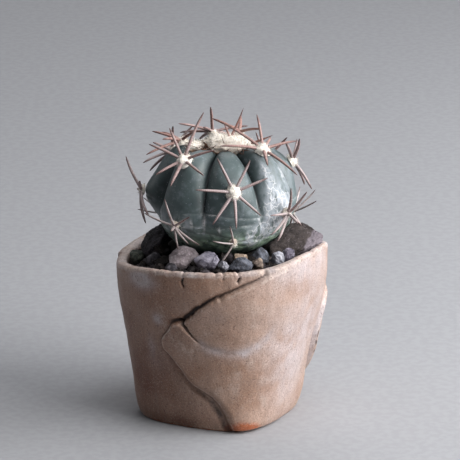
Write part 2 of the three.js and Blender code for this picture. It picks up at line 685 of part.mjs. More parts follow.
function commonSpines(draw) {
  const first = draw() * 360;
  return Array.from({ length: COMMON_SPINES }, (_, k) => [
    first + (360 * (k + 0.4 * draw())) / COMMON_SPINES,
    between(COMMON_LIFT, draw()),
    between(COMMON_LENGTH, draw()),
  ]);
}

function placeSpines() {
  // chooses every spine: one that would touch something turns aside and lifts in small steps
  const draw = drawer(COMMON_SEED);
  const byHand = AREOLES.filter(({ name }) => SPINES[name]);
  const byRule = AREOLES.filter(({ name }) => !SPINES[name]);
  const taken = [];
  const placed = {};
  [...byHand, ...byRule].forEach((areole) => {
    const frame = areoleFrame(areole);
    const others = taken.slice();
    placed[areole.name] = [];
    (SPINES[areole.name] ?? commonSpines(draw)).forEach(([clock, lift, length, hook]) => {
      for (let attempt = 0; attempt < TURN_TRIES; attempt += 1) {
        const side = attempt % 2 ? 1 : -1;
        const turn = side * Math.ceil(attempt / 2) * TURN_STEP;
        const spine = [clock + turn, Math.min(lift + attempt, MOST_LIFT), length, hook];
        const line = spineLine(frame, spine);
        if (isClear(line, others)) {
          placed[areole.name].push(line);
          for (let k = 0; k <= SPINE_MARKS; k += 1) taken.push(line(k / SPINE_MARKS));
          break;
        }
      }
    });
  });
  return placed;
}

function spineGeometry(line, radius, extra) {
  // three-sided tapered needle along a centre line
  const rings = SPINE_BREAKS.map((share) => {
    const ahead = line(share + 0.05).sub(line(share)).normalize();
    const side = new THREE.Vector3(0.3, 0.2, 1).cross(ahead).normalize();
    const up = new THREE.Vector3().crossVectors(ahead, side);
    const width = radius * (1 - share) ** SPINE_TAPER + extra;
    return [0, 120, 240].map((angle) => line(share)
      .addScaledVector(side, width * Math.cos(angle * DEG))
      .addScaledVector(up, width * Math.sin(angle * DEG)));
  });
  return ringLoft(rings, line(0), line(1 + extra / COMMON_LENGTH[0]));
}

function padGeometry({ seat, towards, aside, out }, extra) {
  // low woolly dome on a flat underside
  const rings = PAD_PROFILE.map(([wide, high]) => bearings(PAD_SIDES).map((angle) => seat.clone()
    .addScaledVector(towards, (PAD_RADIUS * PAD_LONG * wide + extra) * Math.cos(angle * DEG))
    .addScaledVector(aside, (PAD_RADIUS * PAD_WIDE * wide + extra) * Math.sin(angle * DEG))
    .addScaledVector(out, PAD_HEIGHT * high + (high ? extra : -extra))));
  return ringLoft(rings, seat.clone().addScaledVector(out, -extra),
    seat.clone().addScaledVector(out, PAD_HEIGHT + extra));
}

function buildAreole(areole, lines, extra = 0) {
  return lines.reduce(
    (cluster, line) => cluster.add(solidOf(spineGeometry(line, SPINE_RADIUS, extra))),
    solidOf(padGeometry(areoleFrame(areole), extra)),
  );
}

// Crown wool

function buildCrownWool() {
  const lumps = (bearing) => 1 + 0.09 * Math.sin(3 * bearing * DEG) + 0.07 * Math.cos(5 * bearing * DEG);
  const rings = WOOL_RINGS.map((down) => bearings(WOOL_SIDES).map((bearing) => {
    const reach = WOOL_RADIUS * lumps(bearing);
    return WOOL_CENTRE.clone().add(new THREE.Vector3(
      reach * Math.sin(down * DEG) * Math.sin(bearing * DEG),
      -reach * Math.sin(down * DEG) * Math.cos(bearing * DEG),
      reach * WOOL_SQUASH * Math.cos(down * DEG),
    ));
  }));
  const top = new THREE.Vector3(0, 0, WOOL_RADIUS * WOOL_SQUASH).add(WOOL_CENTRE);
  const foot = new THREE.Vector3(0, 0, WOOL_FOOT).add(WOOL_CENTRE);
  const wool = solidOf(ringLoft(rings, foot, top));
  return WOOL_SPINES.reduce((crown, { root, tip }) => {
    const from = new THREE.Vector3(root[0], root[1], WOOL_CENTRE.z + WOOL_SPINE_ROOT);
    const to = new THREE.Vector3(...tip);
    const line = (share) => from.clone().lerp(to, share);
    return crown.add(solidOf(spineGeometry(line, SPINE_RADIUS, 0)));
  }, wool);
}

// Soil, gravel and stones

function eggCorners({ half, seed, corners: count = STONE_CORNERS }) {
  const draw = drawer(seed);
  return Array.from({ length: count }, (_, k) => {
    const level = 1 - (2 * (k + 0.5)) / count;
    const angle = k * GOLDEN_ANGLE * DEG + draw() * STONE_CORNER_SHIFT;
    const wide = Math.sqrt(1 - level * level);
    const reach = between(STONE_CORNER_REACH, draw());
    return new THREE.Vector3(
      wide * Math.cos(angle) * half[0],
      wide * Math.sin(angle) * half[1],
      level * half[2],
    ).multiplyScalar(reach);
  });
}

function rockCorners({ at, rock }) {
  return rock.map((corner) => new THREE.Vector3(...corner).sub(new THREE.Vector3(...at)));
}

function stoneGeometry(shape, swell) {
  // crushed stone: the hull of its own corners, or of points spread over an egg of its size
  const { at, turn, rock } = shape;
  const corners = rock ? rockCorners(shape) : eggCorners(shape);
  const stone = new ConvexGeometry(corners.map((corner) => corner.multiplyScalar(swell)));
  stone.rotateZ(turn * DEG);
  stone.translate(...at);
  return stone;
}

function swellFor({ half }) {
  // growth that opens a gap all round a stone
  return 1 + STONE_SWELL / Math.min(...half);
}

function smallStones() {
  const draw = drawer(GRAVEL_SEED);
  return Array.from({ length: SMALL_STONES }, (_, k) => {
    const radius = between(SMALL_STONE_RING, Math.sqrt((k + 0.5) / SMALL_STONES));
    const bearing = k * GOLDEN_ANGLE + SMALL_STONE_SHIFT * draw();
    const size = between(SMALL_STONE_SIZE, draw());
    const height = gravelHeight(bearing, radius) + between(SMALL_STONE_SINK, draw());
    const middle = potPoint(bearing, radius, height);
    return {
      at: [middle.x, middle.y, middle.z],
      half: [size * (1 + 0.3 * draw()), size, size * (0.75 + 0.2 * draw())],
      turn: 180 * draw(),
      seed: 1000 + k,
      corners: SMALL_STONE_CORNERS,
    };
  });
}

function bedTop(bearing, radius) {
  return gravelHeight(bearing, radius) - BED_BELOW_TOP;
}

function soilTop(bearing, radius) {
  return gravelHeight(bearing, radius) - GRAVEL_DEPTH;
}

function bedRing(radius, surface, lift) {
  return potRing(BED_SIDES, (bearing) => [radius, surface(bearing, radius) + lift]);
}

function wallRing(surface, lift) {
  return potRing(BED_SIDES, (bearing) => {
    const z = surface(bearing, GRAVEL_EDGE_RADIUS) + lift;
    return [potRadius(bearing, z) - wallThickness(bearing, z) + BED_WALL_OVERLAP, z];
  });
}

function buildSoil(room, stemSpace) {
  const rings = [
    potRing(BED_SIDES, () => [SOIL_BLOCK_RADIUS, 0]),
    wallRing(soilTop, 0),
    ...BED_RADII.slice().reverse().map((radius) => bedRing(radius, soilTop, 0)),
  ];
  const top = potPoint(0, 0, GRAVEL_FOOT - GRAVEL_DEPTH);
  const block = solidOf(ringLoft(rings, potPoint(0, 0, 0), top));
  return largestPiece(block.intersect(room).subtract(stemSpace));
}

function buildGravel(room, stemSpace, keepOut) {
  const rings = [
    ...BED_RADII.map((radius) => bedRing(radius, soilTop, OPEN_GAP)), wallRing(soilTop, OPEN_GAP),
    wallRing(bedTop, 0), ...BED_RADII.slice().reverse().map((radius) => bedRing(radius, bedTop, 0)),
  ];
  const bed = solidOf(ringTorus(rings));
  const heap = smallStones().reduce((sum, stone) => sum.add(solidOf(stoneGeometry(stone, 1))), bed);
  return largestPiece(heap.intersect(room).subtract(stemSpace).subtract(keepOut));
}

function buildStones(room, stemSpace, spineSpace) {
  // each stone keeps clear of the pot, the stem, the spines and the stones before it
  let taken = spineSpace;
  return STONES.map((stone) => {
    const body = solidOf(stoneGeometry(stone, 1)).intersect(room).subtract(stemSpace).subtract(taken);
    taken = taken.add(solidOf(stoneGeometry(stone, swellFor(stone))));
    return largestPiece(body);
  });
}

// Assembly

const FINISHES = {
  clay: new THREE.MeshStandardMaterial({ color: 0xa98872, roughness: 0.75, metalness: 0 }),
  soil: new THREE.MeshStandardMaterial({ color: 0x2c2420, roughness: 1, metalness: 0 }),
  gravel: new THREE.MeshStandardMaterial({ color: 0x4f4a50, roughness: 0.9, metalness: 0 }),
  stone: new THREE.MeshStandardMaterial({ color: 0x77717c, roughness: 0.9, metalness: 0 }),
  flesh: new THREE.MeshStandardMaterial({ color: 0x5f7a78, roughness: 0.6, metalness: 0 }),
  spines: new THREE.MeshStandardMaterial({ color: 0xb98f82, roughness: 0.55, metalness: 0 }),
  wool: new THREE.MeshStandardMaterial({ color: 0xe3d8c4, roughness: 1, metalness: 0 }),
};

const part = new THREE.Group();
part.position.set(CENTRE_SHIFT[0], CENTRE_SHIFT[1], 0);

function place(name, geometry, finish) {
  const mesh = new THREE.Mesh(geometry, finish.clone());
  mesh.name = name;
  part.add(mesh);
}

const room = cavity();
const stemSpace = solidOf(stemGeometry(GAP));
const spineLines = placeSpines();
const spineSpaceOf = (areoles) => areoles
  .map((areole) => buildAreole(areole, spineLines[areole.name], OPEN_GAP))
  .reduce((sum, cluster) => sum.add(cluster));
const spineSpace = spineSpaceOf(AREOLES.filter(({ down }) => down > LOW_AREOLE));
const crownSpace = spineSpaceOf(AREOLES.filter(({ down }) => down < HIGH_AREOLE));
const stoneSpace = STONES
  .map((stone) => solidOf(stoneGeometry(stone, swellFor(stone))))
  .reduce((sum, stone) => sum.add(stone));

place('pot', geometryOf(buildPot()), FINISHES.clay);
place('potting_soil', geometryOf(buildSoil(room, stemSpace)), FINISHES.soil);
place('gravel_bed', geometryOf(buildGravel(room, stemSpace, spineSpace.add(stoneSpace))), FINISHES.gravel);
buildStones(room, stemSpace, spineSpace).forEach((stone, k) => {
  place(`stone_${String(k + 1).padStart(2, '0')}`, geometryOf(stone), FINISHES.stone);
});
place('cactus_stem', stemGeometry(0), FINISHES.flesh);
place(
  'crown_wool',
  geometryOf(largestPiece(buildCrownWool().subtract(stemSpace).subtract(crownSpace))),
  FINISHES.wool,
);
AREOLES.forEach((areole) => {
  place(`areole_${areole.name}`, geometryOf(buildAreole(areole, spineLines[areole.name])), FINISHES.spines);
});

export default part;
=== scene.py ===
"""Looks of a potted round cactus: ribbed stem, woolly areoles, slab-built pot and stone dressing."""

import json
import logging
import math
from dataclasses import dataclass, field
from enum import Enum

import bpy
import numpy as np
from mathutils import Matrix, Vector, noise

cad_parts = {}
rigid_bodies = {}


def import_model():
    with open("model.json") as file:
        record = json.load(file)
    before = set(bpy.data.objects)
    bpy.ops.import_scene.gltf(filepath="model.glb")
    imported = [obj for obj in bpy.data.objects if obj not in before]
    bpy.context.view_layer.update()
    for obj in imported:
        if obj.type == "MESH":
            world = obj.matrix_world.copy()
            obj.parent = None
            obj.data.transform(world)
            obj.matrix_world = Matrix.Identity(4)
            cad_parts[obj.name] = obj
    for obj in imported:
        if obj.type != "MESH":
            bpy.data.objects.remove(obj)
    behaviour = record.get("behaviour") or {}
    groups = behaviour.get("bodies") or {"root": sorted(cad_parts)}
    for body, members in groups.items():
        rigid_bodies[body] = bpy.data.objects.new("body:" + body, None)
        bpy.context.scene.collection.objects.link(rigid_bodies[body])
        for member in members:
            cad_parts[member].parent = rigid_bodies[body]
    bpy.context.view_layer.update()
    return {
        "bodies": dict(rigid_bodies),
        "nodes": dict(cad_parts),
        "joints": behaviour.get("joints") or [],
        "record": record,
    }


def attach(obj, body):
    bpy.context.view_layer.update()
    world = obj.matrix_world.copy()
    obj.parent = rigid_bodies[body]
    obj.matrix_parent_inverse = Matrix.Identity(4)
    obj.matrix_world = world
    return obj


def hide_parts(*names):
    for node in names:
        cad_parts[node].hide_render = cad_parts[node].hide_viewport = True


LOG = logging.getLogger("potted_cactus")
MM = 0.001
SHIFT = np.array([-0.1, 0.8, 0.0])
GOLDEN_ANGLE = 137.508
WALL_RADIUS = 45.0
WALL_REACH = math.radians(WALL_RADIUS)  # millimetres along the pot's wall for one degree

Knots = tuple[tuple[float, float], ...]
Colour = tuple[float, float, float]


class Slot(Enum):
    """Names of the record's material slots, one for each kind of surface."""

    STONEWARE = "stoneware"
    GRAVEL = "gravel"
    STONE = "crushed_stone"
    SKIN = "stem_skin"
    SPINES = "areole_spines"
    WOOL = "crown_wool"


def srgb(red: int, green: int, blue: int) -> Colour:
    """Turns a screen colour, channels from 0 to 255, into the linear one that the shaders use."""
    parts = [channel / 255 for channel in (red, green, blue)]
    return tuple(p / 12.92 if p <= 0.04045 else ((p + 0.055) / 1.055) ** 2.4 for p in parts)


def through_knots(knots: Knots, x: np.ndarray | float) -> np.ndarray:
    """Smooth curve through knots, level past both ends.

    Args:
        knots: (x, y) pairs in rising order of x.
        x: where the curve is read.

    Returns:
        The curve's heights.
    """
    xs, ys = np.array(knots, dtype=float).T
    x = np.clip(np.asarray(x, dtype=float), xs[0], xs[-1])
    slopes = np.empty_like(ys)
    slopes[1:-1] = (ys[2:] - ys[:-2]) / (xs[2:] - xs[:-2])
    slopes[0] = (ys[1] - ys[0]) / (xs[1] - xs[0])
    slopes[-1] = (ys[-1] - ys[-2]) / (xs[-1] - xs[-2])
    i = np.clip(np.searchsorted(xs, x, side="left") - 1, 0, len(xs) - 2)
    h = xs[i + 1] - xs[i]
    t = (x - xs[i]) / h
    rise = t * t * (3 - 2 * t)
    leave = t * (1 - t) * (1 - t) * h
    arrive = t * t * (t - 1) * h
    return ys[i] + (ys[i + 1] - ys[i]) * rise + slopes[i] * leave + slopes[i + 1] * arrive


def round_the_clock(knots: Knots) -> Knots:
    """Repeats (bearing, value) knots on both sides so that the curve closes."""
    return tuple((bearing + turn, value) for turn in (-360, 0, 360) for bearing, value in knots)


def wrapped(bearing: np.ndarray | float) -> np.ndarray:
    """Gives the same bearing between -180 and 180."""
    return bearing - 360 * np.round(np.asarray(bearing) / 360)


def ease(low: float, high: float, x: np.ndarray | float) -> np.ndarray:
    """Goes smoothly from 0 at the low value to 1 at the high one, which may be the lesser."""
    t = np.clip((np.asarray(x, dtype=float) - low) / (high - low), 0, 1)
    return t * t * (3 - 2 * t)


def bell(x: np.ndarray, width: np.ndarray | float) -> np.ndarray:
    """Gives 1 at 0 and falls off smoothly on both sides, over about the given width."""
    return np.exp(-((x / width) ** 2))


def on_wall(bearing: np.ndarray, height: np.ndarray) -> np.ndarray:
    """Unrolls places on the pot's wall to a flat sheet in millimetres, for noise to lie on."""
    return np.stack([bearing * WALL_REACH, height, np.zeros_like(height)], axis=-1)


def rough(points: np.ndarray, size: float, seed: float) -> np.ndarray:
    """Smooth noise over points.

    Args:
        points: places in millimetres, with three numbers along the last axis.
        size: size of one bump in millimetres.
        seed: picks the pattern.

    Returns:
        Values from about -1 to 1.
    """
    flat = points.reshape(-1, 3) / size + seed * 17.31
    values = [noise.noise(place) for place in flat.tolist()]
    return np.array(values).reshape(points.shape[:-1])


class Drawer:
    """Repeatable random numbers from 0 to 1."""

    FACTOR = 16807
    MODULUS = 2147483647

    def __init__(self, seed: int) -> None:
        """Starts from a seed."""
        self.state = seed

    def __call__(self) -> float:
        """Draws the next number."""
        self.state = self.state * self.FACTOR % self.MODULUS
        return self.state / self.MODULUS

    def between(self, low: float, high: float) -> float:
        """Draws the next number between two values."""
        return low + (high - low) * self()


def unit(vectors: np.ndarray) -> np.ndarray:
    """Scales vectors along the last axis to length 1."""
    return vectors / np.linalg.norm(vectors, axis=-1, keepdims=True)


def deselect() -> None:
    """Deselects every object."""
    bpy.ops.object.select_all(action="DESELECT")


def pick(obj: bpy.types.Object) -> None:
    """Selects one object alone and makes it the active one.

    Args:
        obj: the object.
    """
    deselect()
    obj.select_set(True)
    bpy.context.view_layer.objects.active = obj


def edit(obj: bpy.types.Object) -> None:
    """Opens one object in edit mode with all of it selected.

    Args:
        obj: the object.
    """
    pick(obj)
    bpy.ops.object.mode_set(mode="EDIT")
    bpy.ops.mesh.select_all(action="SELECT")


def leave_edit() -> None:
    """Goes back to object mode."""
    bpy.ops.object.mode_set(mode="OBJECT")


def face_outwards(obj: bpy.types.Object) -> None:
    """Turns all faces of an object outwards.

    Args:
        obj: the object.
    """
    edit(obj)
    bpy.ops.mesh.normals_make_consistent(inside=False)
    leave_edit()


def new_ball(subdivisions: int) -> bpy.types.Object:
    """Adds a ball of triangles with a radius of one unit.

    Args:
        subdivisions: how finely it is divided.

    Returns:
        The ball.
    """
    deselect()
    bpy.ops.mesh.primitive_ico_sphere_add(subdivisions=subdivisions, radius=1.0)
    return bpy.context.object


def get_points(obj: bpy.types.Object) -> np.ndarray:
    """Reads a mesh's vertices as rows of three numbers.

    Args:
        obj: the mesh's object.

    Returns:
        The rows.
    """
    flat = np.empty(len(obj.data.vertices) * 3)
    obj.data.vertices.foreach_get("co", flat)
    return flat.reshape(-1, 3)


def set_points(obj: bpy.types.Object, points: np.ndarray) -> None:
    """Writes a mesh's vertices."""
    obj.data.vertices.foreach_set("co", np.ascontiguousarray(points, dtype=np.float32).ravel())
    obj.data.update()


def to_metres(points: np.ndarray) -> np.ndarray:
    """Turns millimetres about the plant's axis into metres of the frame."""
    return (points + SHIFT) * MM


def to_millimetres(points: np.ndarray) -> np.ndarray:
    """Turns metres of the frame into millimetres about the plant's axis."""
    return points / MM - SHIFT


def mark(obj: bpy.types.Object, name: str, values: np.ndarray) -> None:
    """Stores one number for each vertex by name, which a finish reads."""
    attribute = obj.data.attributes.new(name, "FLOAT", "POINT")
    attribute.data.foreach_set("value", np.ascontiguousarray(values, dtype=np.float32))


def finish_modifier(obj: bpy.types.Object, kind: str, **settings: object) -> None:
    """Adds a modifier and applies it.

    Args:
        obj: the piece.
        kind: the modifier's type.
        settings: its values by name.
    """
    pick(obj)
    modifier = obj.modifiers.new(kind.lower(), kind)
    for key, value in settings.items():
        setattr(modifier, key, value)
    bpy.ops.object.modifier_apply(modifier=modifier.name)


def smooth(obj: bpy.types.Object, angle: float = 180.0) -> None:
    """Shades a piece smooth up to an angle between its faces.

    Args:
        obj: the piece.
        angle: edges sharper than this stay crisp, in degrees.
    """
    pick(obj)
    if angle >= 180:
        bpy.ops.object.shade_smooth()
    else:
        bpy.ops.object.shade_smooth_by_angle(angle=math.radians(angle))


def sleeve(name: str, sides: int, rows: int) -> tuple[bpy.types.Object, np.ndarray, np.ndarray]:
    """Extrudes a ring row by row into a sleeve of quads, ready to be shaped.

    Args:
        name: the new object's name.
        sides: vertices in a ring.
        rows: number of rings.

    Returns:
        The object, and for each vertex its ring and its place in the ring.
    """
    deselect()
    bpy.ops.mesh.primitive_circle_add(vertices=sides, radius=1.0, fill_type="NOTHING")
    obj = bpy.context.object
    obj.name = obj.data.name = name
    edit(obj)
    for _ in range(rows - 1):
        bpy.ops.mesh.extrude_region_move(TRANSFORM_OT_translate={"value": (0, 0, 1)})
    leave_edit()
    points = get_points(obj)
    ring = np.rint(points[:, 2]).astype(int)
    angle = np.arctan2(points[:, 1], points[:, 0])
    turn = (angle - angle[0]) / (2 * math.pi) * sides
    return obj, ring, np.rint(turn).astype(int) % sides


def close_ends(obj: bpy.types.Object, ring: np.ndarray, bridge: bool) -> None:
    """Closes the two open ends of a sleeve.

    Args:
        obj: the sleeve.
        ring: the ring of each vertex.
        bridge: True joins the last ring to the first, False caps each end.
    """
    edit(obj)
    bpy.ops.mesh.select_mode(type="VERT")
    bpy.ops.mesh.select_all(action="DESELECT")
    leave_edit()
    ends = [(0, ring.max())] if bridge else [(0,), (ring.max(),)]
    for rows in ends:
        obj.data.vertices.foreach_set("select", np.isin(ring, rows))
        bpy.ops.object.mode_set(mode="EDIT")
        close = bpy.ops.mesh.bridge_edge_loops if bridge else bpy.ops.mesh.edge_face_add
        close()
        bpy.ops.mesh.select_all(action="DESELECT")
        leave_edit()
    face_outwards(obj)


def copies(
    template: bpy.types.Object, name: str, placed: np.ndarray, values: dict[str, np.ndarray]
) -> bpy.types.Object:
    """Lays copies of one small shape, each with its own vertices, in one mesh.

    Args:
        template: the shape that is repeated.
        name: the new object's name.
        placed: vertices of every copy, in metres, as (copy, vertex, 3).
        values: attributes, each as (copy, vertex) numbers.

    Returns:
        The new object.
    """
    faces = [tuple(polygon.vertices) for polygon in template.data.polygons]
    count, size = placed.shape[:2]
    mesh = bpy.data.meshes.new(name)
    shifted = [tuple(v + k * size for v in face) for k in range(count) for face in faces]
    mesh.from_pydata(placed.reshape(-1, 3).tolist(), [], shifted)
    obj = bpy.data.objects.new(name, mesh)
    bpy.context.scene.collection.objects.link(obj)
    for key, value in values.items():
        mark(obj, key, value.reshape(-1))
    return obj


def around(side: np.ndarray, up: np.ndarray, angle: np.ndarray) -> np.ndarray:
    """Directions at angles round the middle of a fibre or a spine, from its side upwards."""
    return side * np.cos(angle)[:, None] + up * np.sin(angle)[:, None]


def remove(*objects: bpy.types.Object) -> None:
    """Takes helper shapes out of the scene."""
    for obj in objects:
        bpy.data.objects.remove(obj, do_unlink=True)


class Graph:
    """Wires the nodes of one material or node group."""

    def __init__(self, tree: bpy.types.NodeTree) -> None:
        """Starts on a node tree."""
        self.tree = tree

    def feed(self, socket: bpy.types.NodeSocket, value: object) -> None:
        """Links a socket, or sets its value.

        Args:
            socket: the input.
            value: another node's output, a number or a colour.
        """
        if isinstance(value, bpy.types.NodeSocket):
            self.tree.links.new(value, socket)
        elif socket.type == "RGBA":
            socket.default_value = (*value, 1.0)
        else:
            socket.default_value = value

    def add(self, kind: str, settings: dict | None = None, **sockets: object) -> bpy.types.Node:
        """Adds a shader node.

        Args:
            kind: the node's type without its prefix.
            settings: plain values of the node.
            sockets: its inputs by name, with _ for a space.

        Returns:
            The node.
        """
        node = self.tree.nodes.new("ShaderNode" + kind)
        for key, value in (settings or {}).items():
            setattr(node, key, value)
        for key, value in sockets.items():
            self.feed(node.inputs[key.replace("_", " ")], value)
        return node

    def mix(self, low: object, high: object, share: object) -> object:
        """Mixes two colours.

        Args:
            low: the colour at share 0.
            high: the colour at share 1.
            share: how much of the second one.

        Returns:
            The mixed colour's socket.
        """
        node = self.add("Mix", {"data_type": "RGBA"})
        self.feed(node.inputs[0], share)
        self.feed(node.inputs[6], low)
        self.feed(node.inputs[7], high)
        return node.outputs[2]

    def math(self, operation: str, first: object, second: object = 0.0) -> object:
        """Adds a sum of two numbers.

        Args:
            operation: the name of the sum.
            first: the first number.
            second: the second number.

        Returns:
            The result's socket.
        """
        node = self.add("Math", {"operation": operation})
        self.feed(node.inputs[0], first)
        self.feed(node.inputs[1], second)
        return node.outputs[0]

    def times(self, first: object, second: object) -> object:
        """Multiplies two numbers."""
        return self.math("MULTIPLY", first, second)

    def fit(
        self, value: object, low: float, high: float, to_low: float = 0.0, to_high: float = 1.0
    ) -> object:
        """Maps a range of a number smoothly to another range.

        Args:
            value: the number.
            low: start of its range.
            high: end of its range.
            to_low: start of the new range.
            to_high: end of the new range.

        Returns:
            The result's socket.
        """
        node = self.add("MapRange", {"interpolation_type": "SMOOTHSTEP"}, Value=value)
        ends = {"From Min": low, "From Max": high, "To Min": to_low, "To Max": to_high}
        for key, number in ends.items():
            node.inputs[key].default_value = number
        return node.outputs[0]

    def noise(self, place: object, size: float, seed: float, detail: float = 3.0) -> object:
        """Adds smooth noise.

        Args:
            place: the coordinates' socket.
            size: size of one bump in millimetres.
            seed: picks the pattern.
            detail: how many finer layers it has.

        Returns:
            The noise from 0 to 1.
        """
        node = self.add("TexNoise", {"noise_dimensions": "4D"}, Vector=place, W=seed, Detail=detail)
        node.inputs["Scale"].default_value = 1 / (size * MM)
        return node.outputs[0]

    def cells(self, place: object, size: float, feature: str = "F1") -> object:
        """Adds a pattern of cells and gives the distance in it.

        Args:
            place: the coordinates' socket.
            size: size of one cell in millimetres.
            feature: the kind of distance.

        Returns:
            The distance's socket.
        """
        node = self.add("TexVoronoi", {"feature": feature}, Vector=place)
        node.inputs["Scale"].default_value = 1 / (size * MM)
        return node.outputs["Distance"]

    def place(self) -> object:
        """Gives the Object coordinates."""
        return self.add("TexCoord").outputs["Object"]

    def stretched(self, place: object, height: float) -> object:
        """Scales the height of coordinates, so that a pattern on them is drawn out upwards.

        Args:
            place: the coordinates' socket.
            height: the factor.

        Returns:
            The new coordinates' socket.
        """
        node = self.add("VectorMath", {"operation": "MULTIPLY"})
        self.feed(node.inputs[0], place)
        node.inputs[1].default_value = (1.0, 1.0, height)
        return node.outputs[0]

    def value(self, name: str) -> object:
        """Reads a number stored on the mesh."""
        return self.add("Attribute", {"attribute_name": name}).outputs["Fac"]

    def group(self, tree: bpy.types.NodeTree, **sockets: object) -> bpy.types.Node:
        """Places a shared effect.

        Args:
            tree: the effect's node group.
            sockets: its inputs by name, with _ for a space.

        Returns:
            The group's node.
        """
        node = self.add("Group")
        node.node_tree = tree
        for key, value in sockets.items():
            self.feed(node.inputs[key.replace("_", " ")], value)
        return node


def start_effect(
    name: str, inputs: dict[str, str], outputs: dict[str, str]
) -> tuple[bpy.types.NodeTree, bpy.types.Node, bpy.types.Node, Graph]:
    """Starts a shared effect.

    Args:
        name: the node group's name.
        inputs: socket types by input name.
        outputs: socket types by output name.

    Returns:
        The group, its input node, its output node and a graph on it.
    """
    tree = bpy.data.node_groups.new(name, "ShaderNodeTree")
    for side, sockets in (("INPUT", inputs), ("OUTPUT", outputs)):
        for key, kind in sockets.items():
            tree.interface.new_socket(name=key, in_out=side, socket_type="NodeSocket" + kind)
    return tree, tree.nodes.new("NodeGroupInput"), tree.nodes.new("NodeGroupOutput"), Graph(tree)


def fleck_effect() -> bpy.types.NodeTree:
    """Makes fine flecks of one colour over another: iron specks, light grains, dust.

    Returns:
        The node group.
    """
    tree, given, result, g = start_effect(
        "flecks",
        {
            "Vector": "Vector", "Colour": "Color", "Fleck": "Color",
            "Scale": "Float", "Level": "Float", "Amount": "Float",
        },
        {"Colour": "Color"},
    )
    grain = g.add("TexNoise", {"noise_dimensions": "3D"}, Vector=given.outputs["Vector"], Detail=1.5)
    g.feed(grain.inputs["Scale"], given.outputs["Scale"])
    over = g.math("SUBTRACT", grain.outputs[0], given.outputs["Level"])
    share = g.times(g.fit(over, 0.0, 0.05), given.outputs["Amount"])
    g.feed(result.inputs["Colour"], g.mix(given.outputs["Colour"], given.outputs["Fleck"], share))
    return tree


def grit_effect() -> bpy.types.NodeTree:
    """Makes the grain of broken stone: three tones and a height.

    Returns:
        The node group.
    """
    tree, given, result, g = start_effect(
        "grit",
        {"Vector": "Vector", "Dark": "Color", "Middle": "Color", "Light": "Color", "Size": "Float"},
        {"Colour": "Color", "Height": "Float"},
    )
    wide = g.add("TexNoise", {}, Vector=given.outputs["Vector"], Detail=5.0, Roughness=0.62)
    g.feed(wide.inputs["Scale"], g.math("DIVIDE", 300.0, given.outputs["Size"]))
    fine = g.add("TexNoise", {}, Vector=given.outputs["Vector"], Detail=4.0, Roughness=0.7)
    g.feed(fine.inputs["Scale"], g.math("DIVIDE", 1400.0, given.outputs["Size"]))
    colour = g.mix(given.outputs["Dark"], given.outputs["Middle"], g.fit(wide.outputs[0], 0.34, 0.62))
    colour = g.mix(colour, given.outputs["Light"], g.fit(fine.outputs[0], 0.54, 0.72))
    height = g.math("ADD", g.times(wide.outputs[0], 0.6), g.times(fine.outputs[0], 0.5))
    g.feed(result.inputs["Colour"], colour)
    g.feed(result.inputs["Height"], height)
    return tree


class Effects:
    """The effects that more than one finish uses, each built once."""

    def __init__(self) -> None:
        """Builds the node groups."""
        self.flecks = fleck_effect()
        self.grit = grit_effect()

    def flecked(
        self, g: Graph, place: object, colour: object, fleck: Colour,
        scale: float, level: float, amount: float,
    ) -> object:
        """Lays fine flecks of one colour over another.

        Args:
            g: the material's graph.
            place: the coordinates' socket.
            colour: the colour below.
            fleck: the colour of the flecks.
            scale: how fine they are.
            level: how rare they are, from 0 to 1.
            amount: how much of the colour below they cover.

        Returns:
            The colour's socket.
        """
        node = g.group(
            self.flecks, Vector=place, Colour=colour, Fleck=fleck, Scale=scale, Level=level, Amount=amount
        )
        return node.outputs["Colour"]


def start_material(name: str) -> tuple[bpy.types.Material, Graph, bpy.types.Node]:
    """Starts a material with one Principled shader.

    Args:
        name: the material's name.

    Returns:
        The material, a graph on it and its shader.
    """
    material = bpy.data.materials.new(name)
    material.use_nodes = True
    material.node_tree.nodes.clear()
    g = Graph(material.node_tree)
    shader = g.add("BsdfPrincipled")
    g.add("OutputMaterial", Surface=shader.outputs[0])
    return material, g, shader


@dataclass(frozen=True)
class Look:
    """What a finish shows: its sockets, its relief in metres, and shader values that stay the same."""

    colour: object
    roughness: object
    height: object
    strength: float
    depth: float
    plain: dict[str, float] = field(default_factory=dict)


class Finish:
    """A material that each kind of surface paints in its own way."""

    name: str

    def paint(self, g: Graph, place: object, effects: Effects) -> Look:
        """Adds the nodes of the surface, on the given coordinates, and says what the shader shows."""
        raise NotImplementedError

    def build(self, effects: Effects) -> bpy.types.Material:
        """Makes the material.

        Args:
            effects: the shared effects.

        Returns:
            The material.
        """
        material, g, shader = start_material(self.name)
        look = self.paint(g, g.place(), effects)
        bump = g.add("Bump", {}, Height=look.height, Strength=look.strength, Distance=look.depth)
        g.feed(shader.inputs["Base Color"], look.colour)
        g.feed(shader.inputs["Roughness"], look.roughness)
        g.feed(shader.inputs["Normal"], bump.outputs[0])
        for key, value in look.plain.items():
            shader.inputs[key].default_value = value
        return material


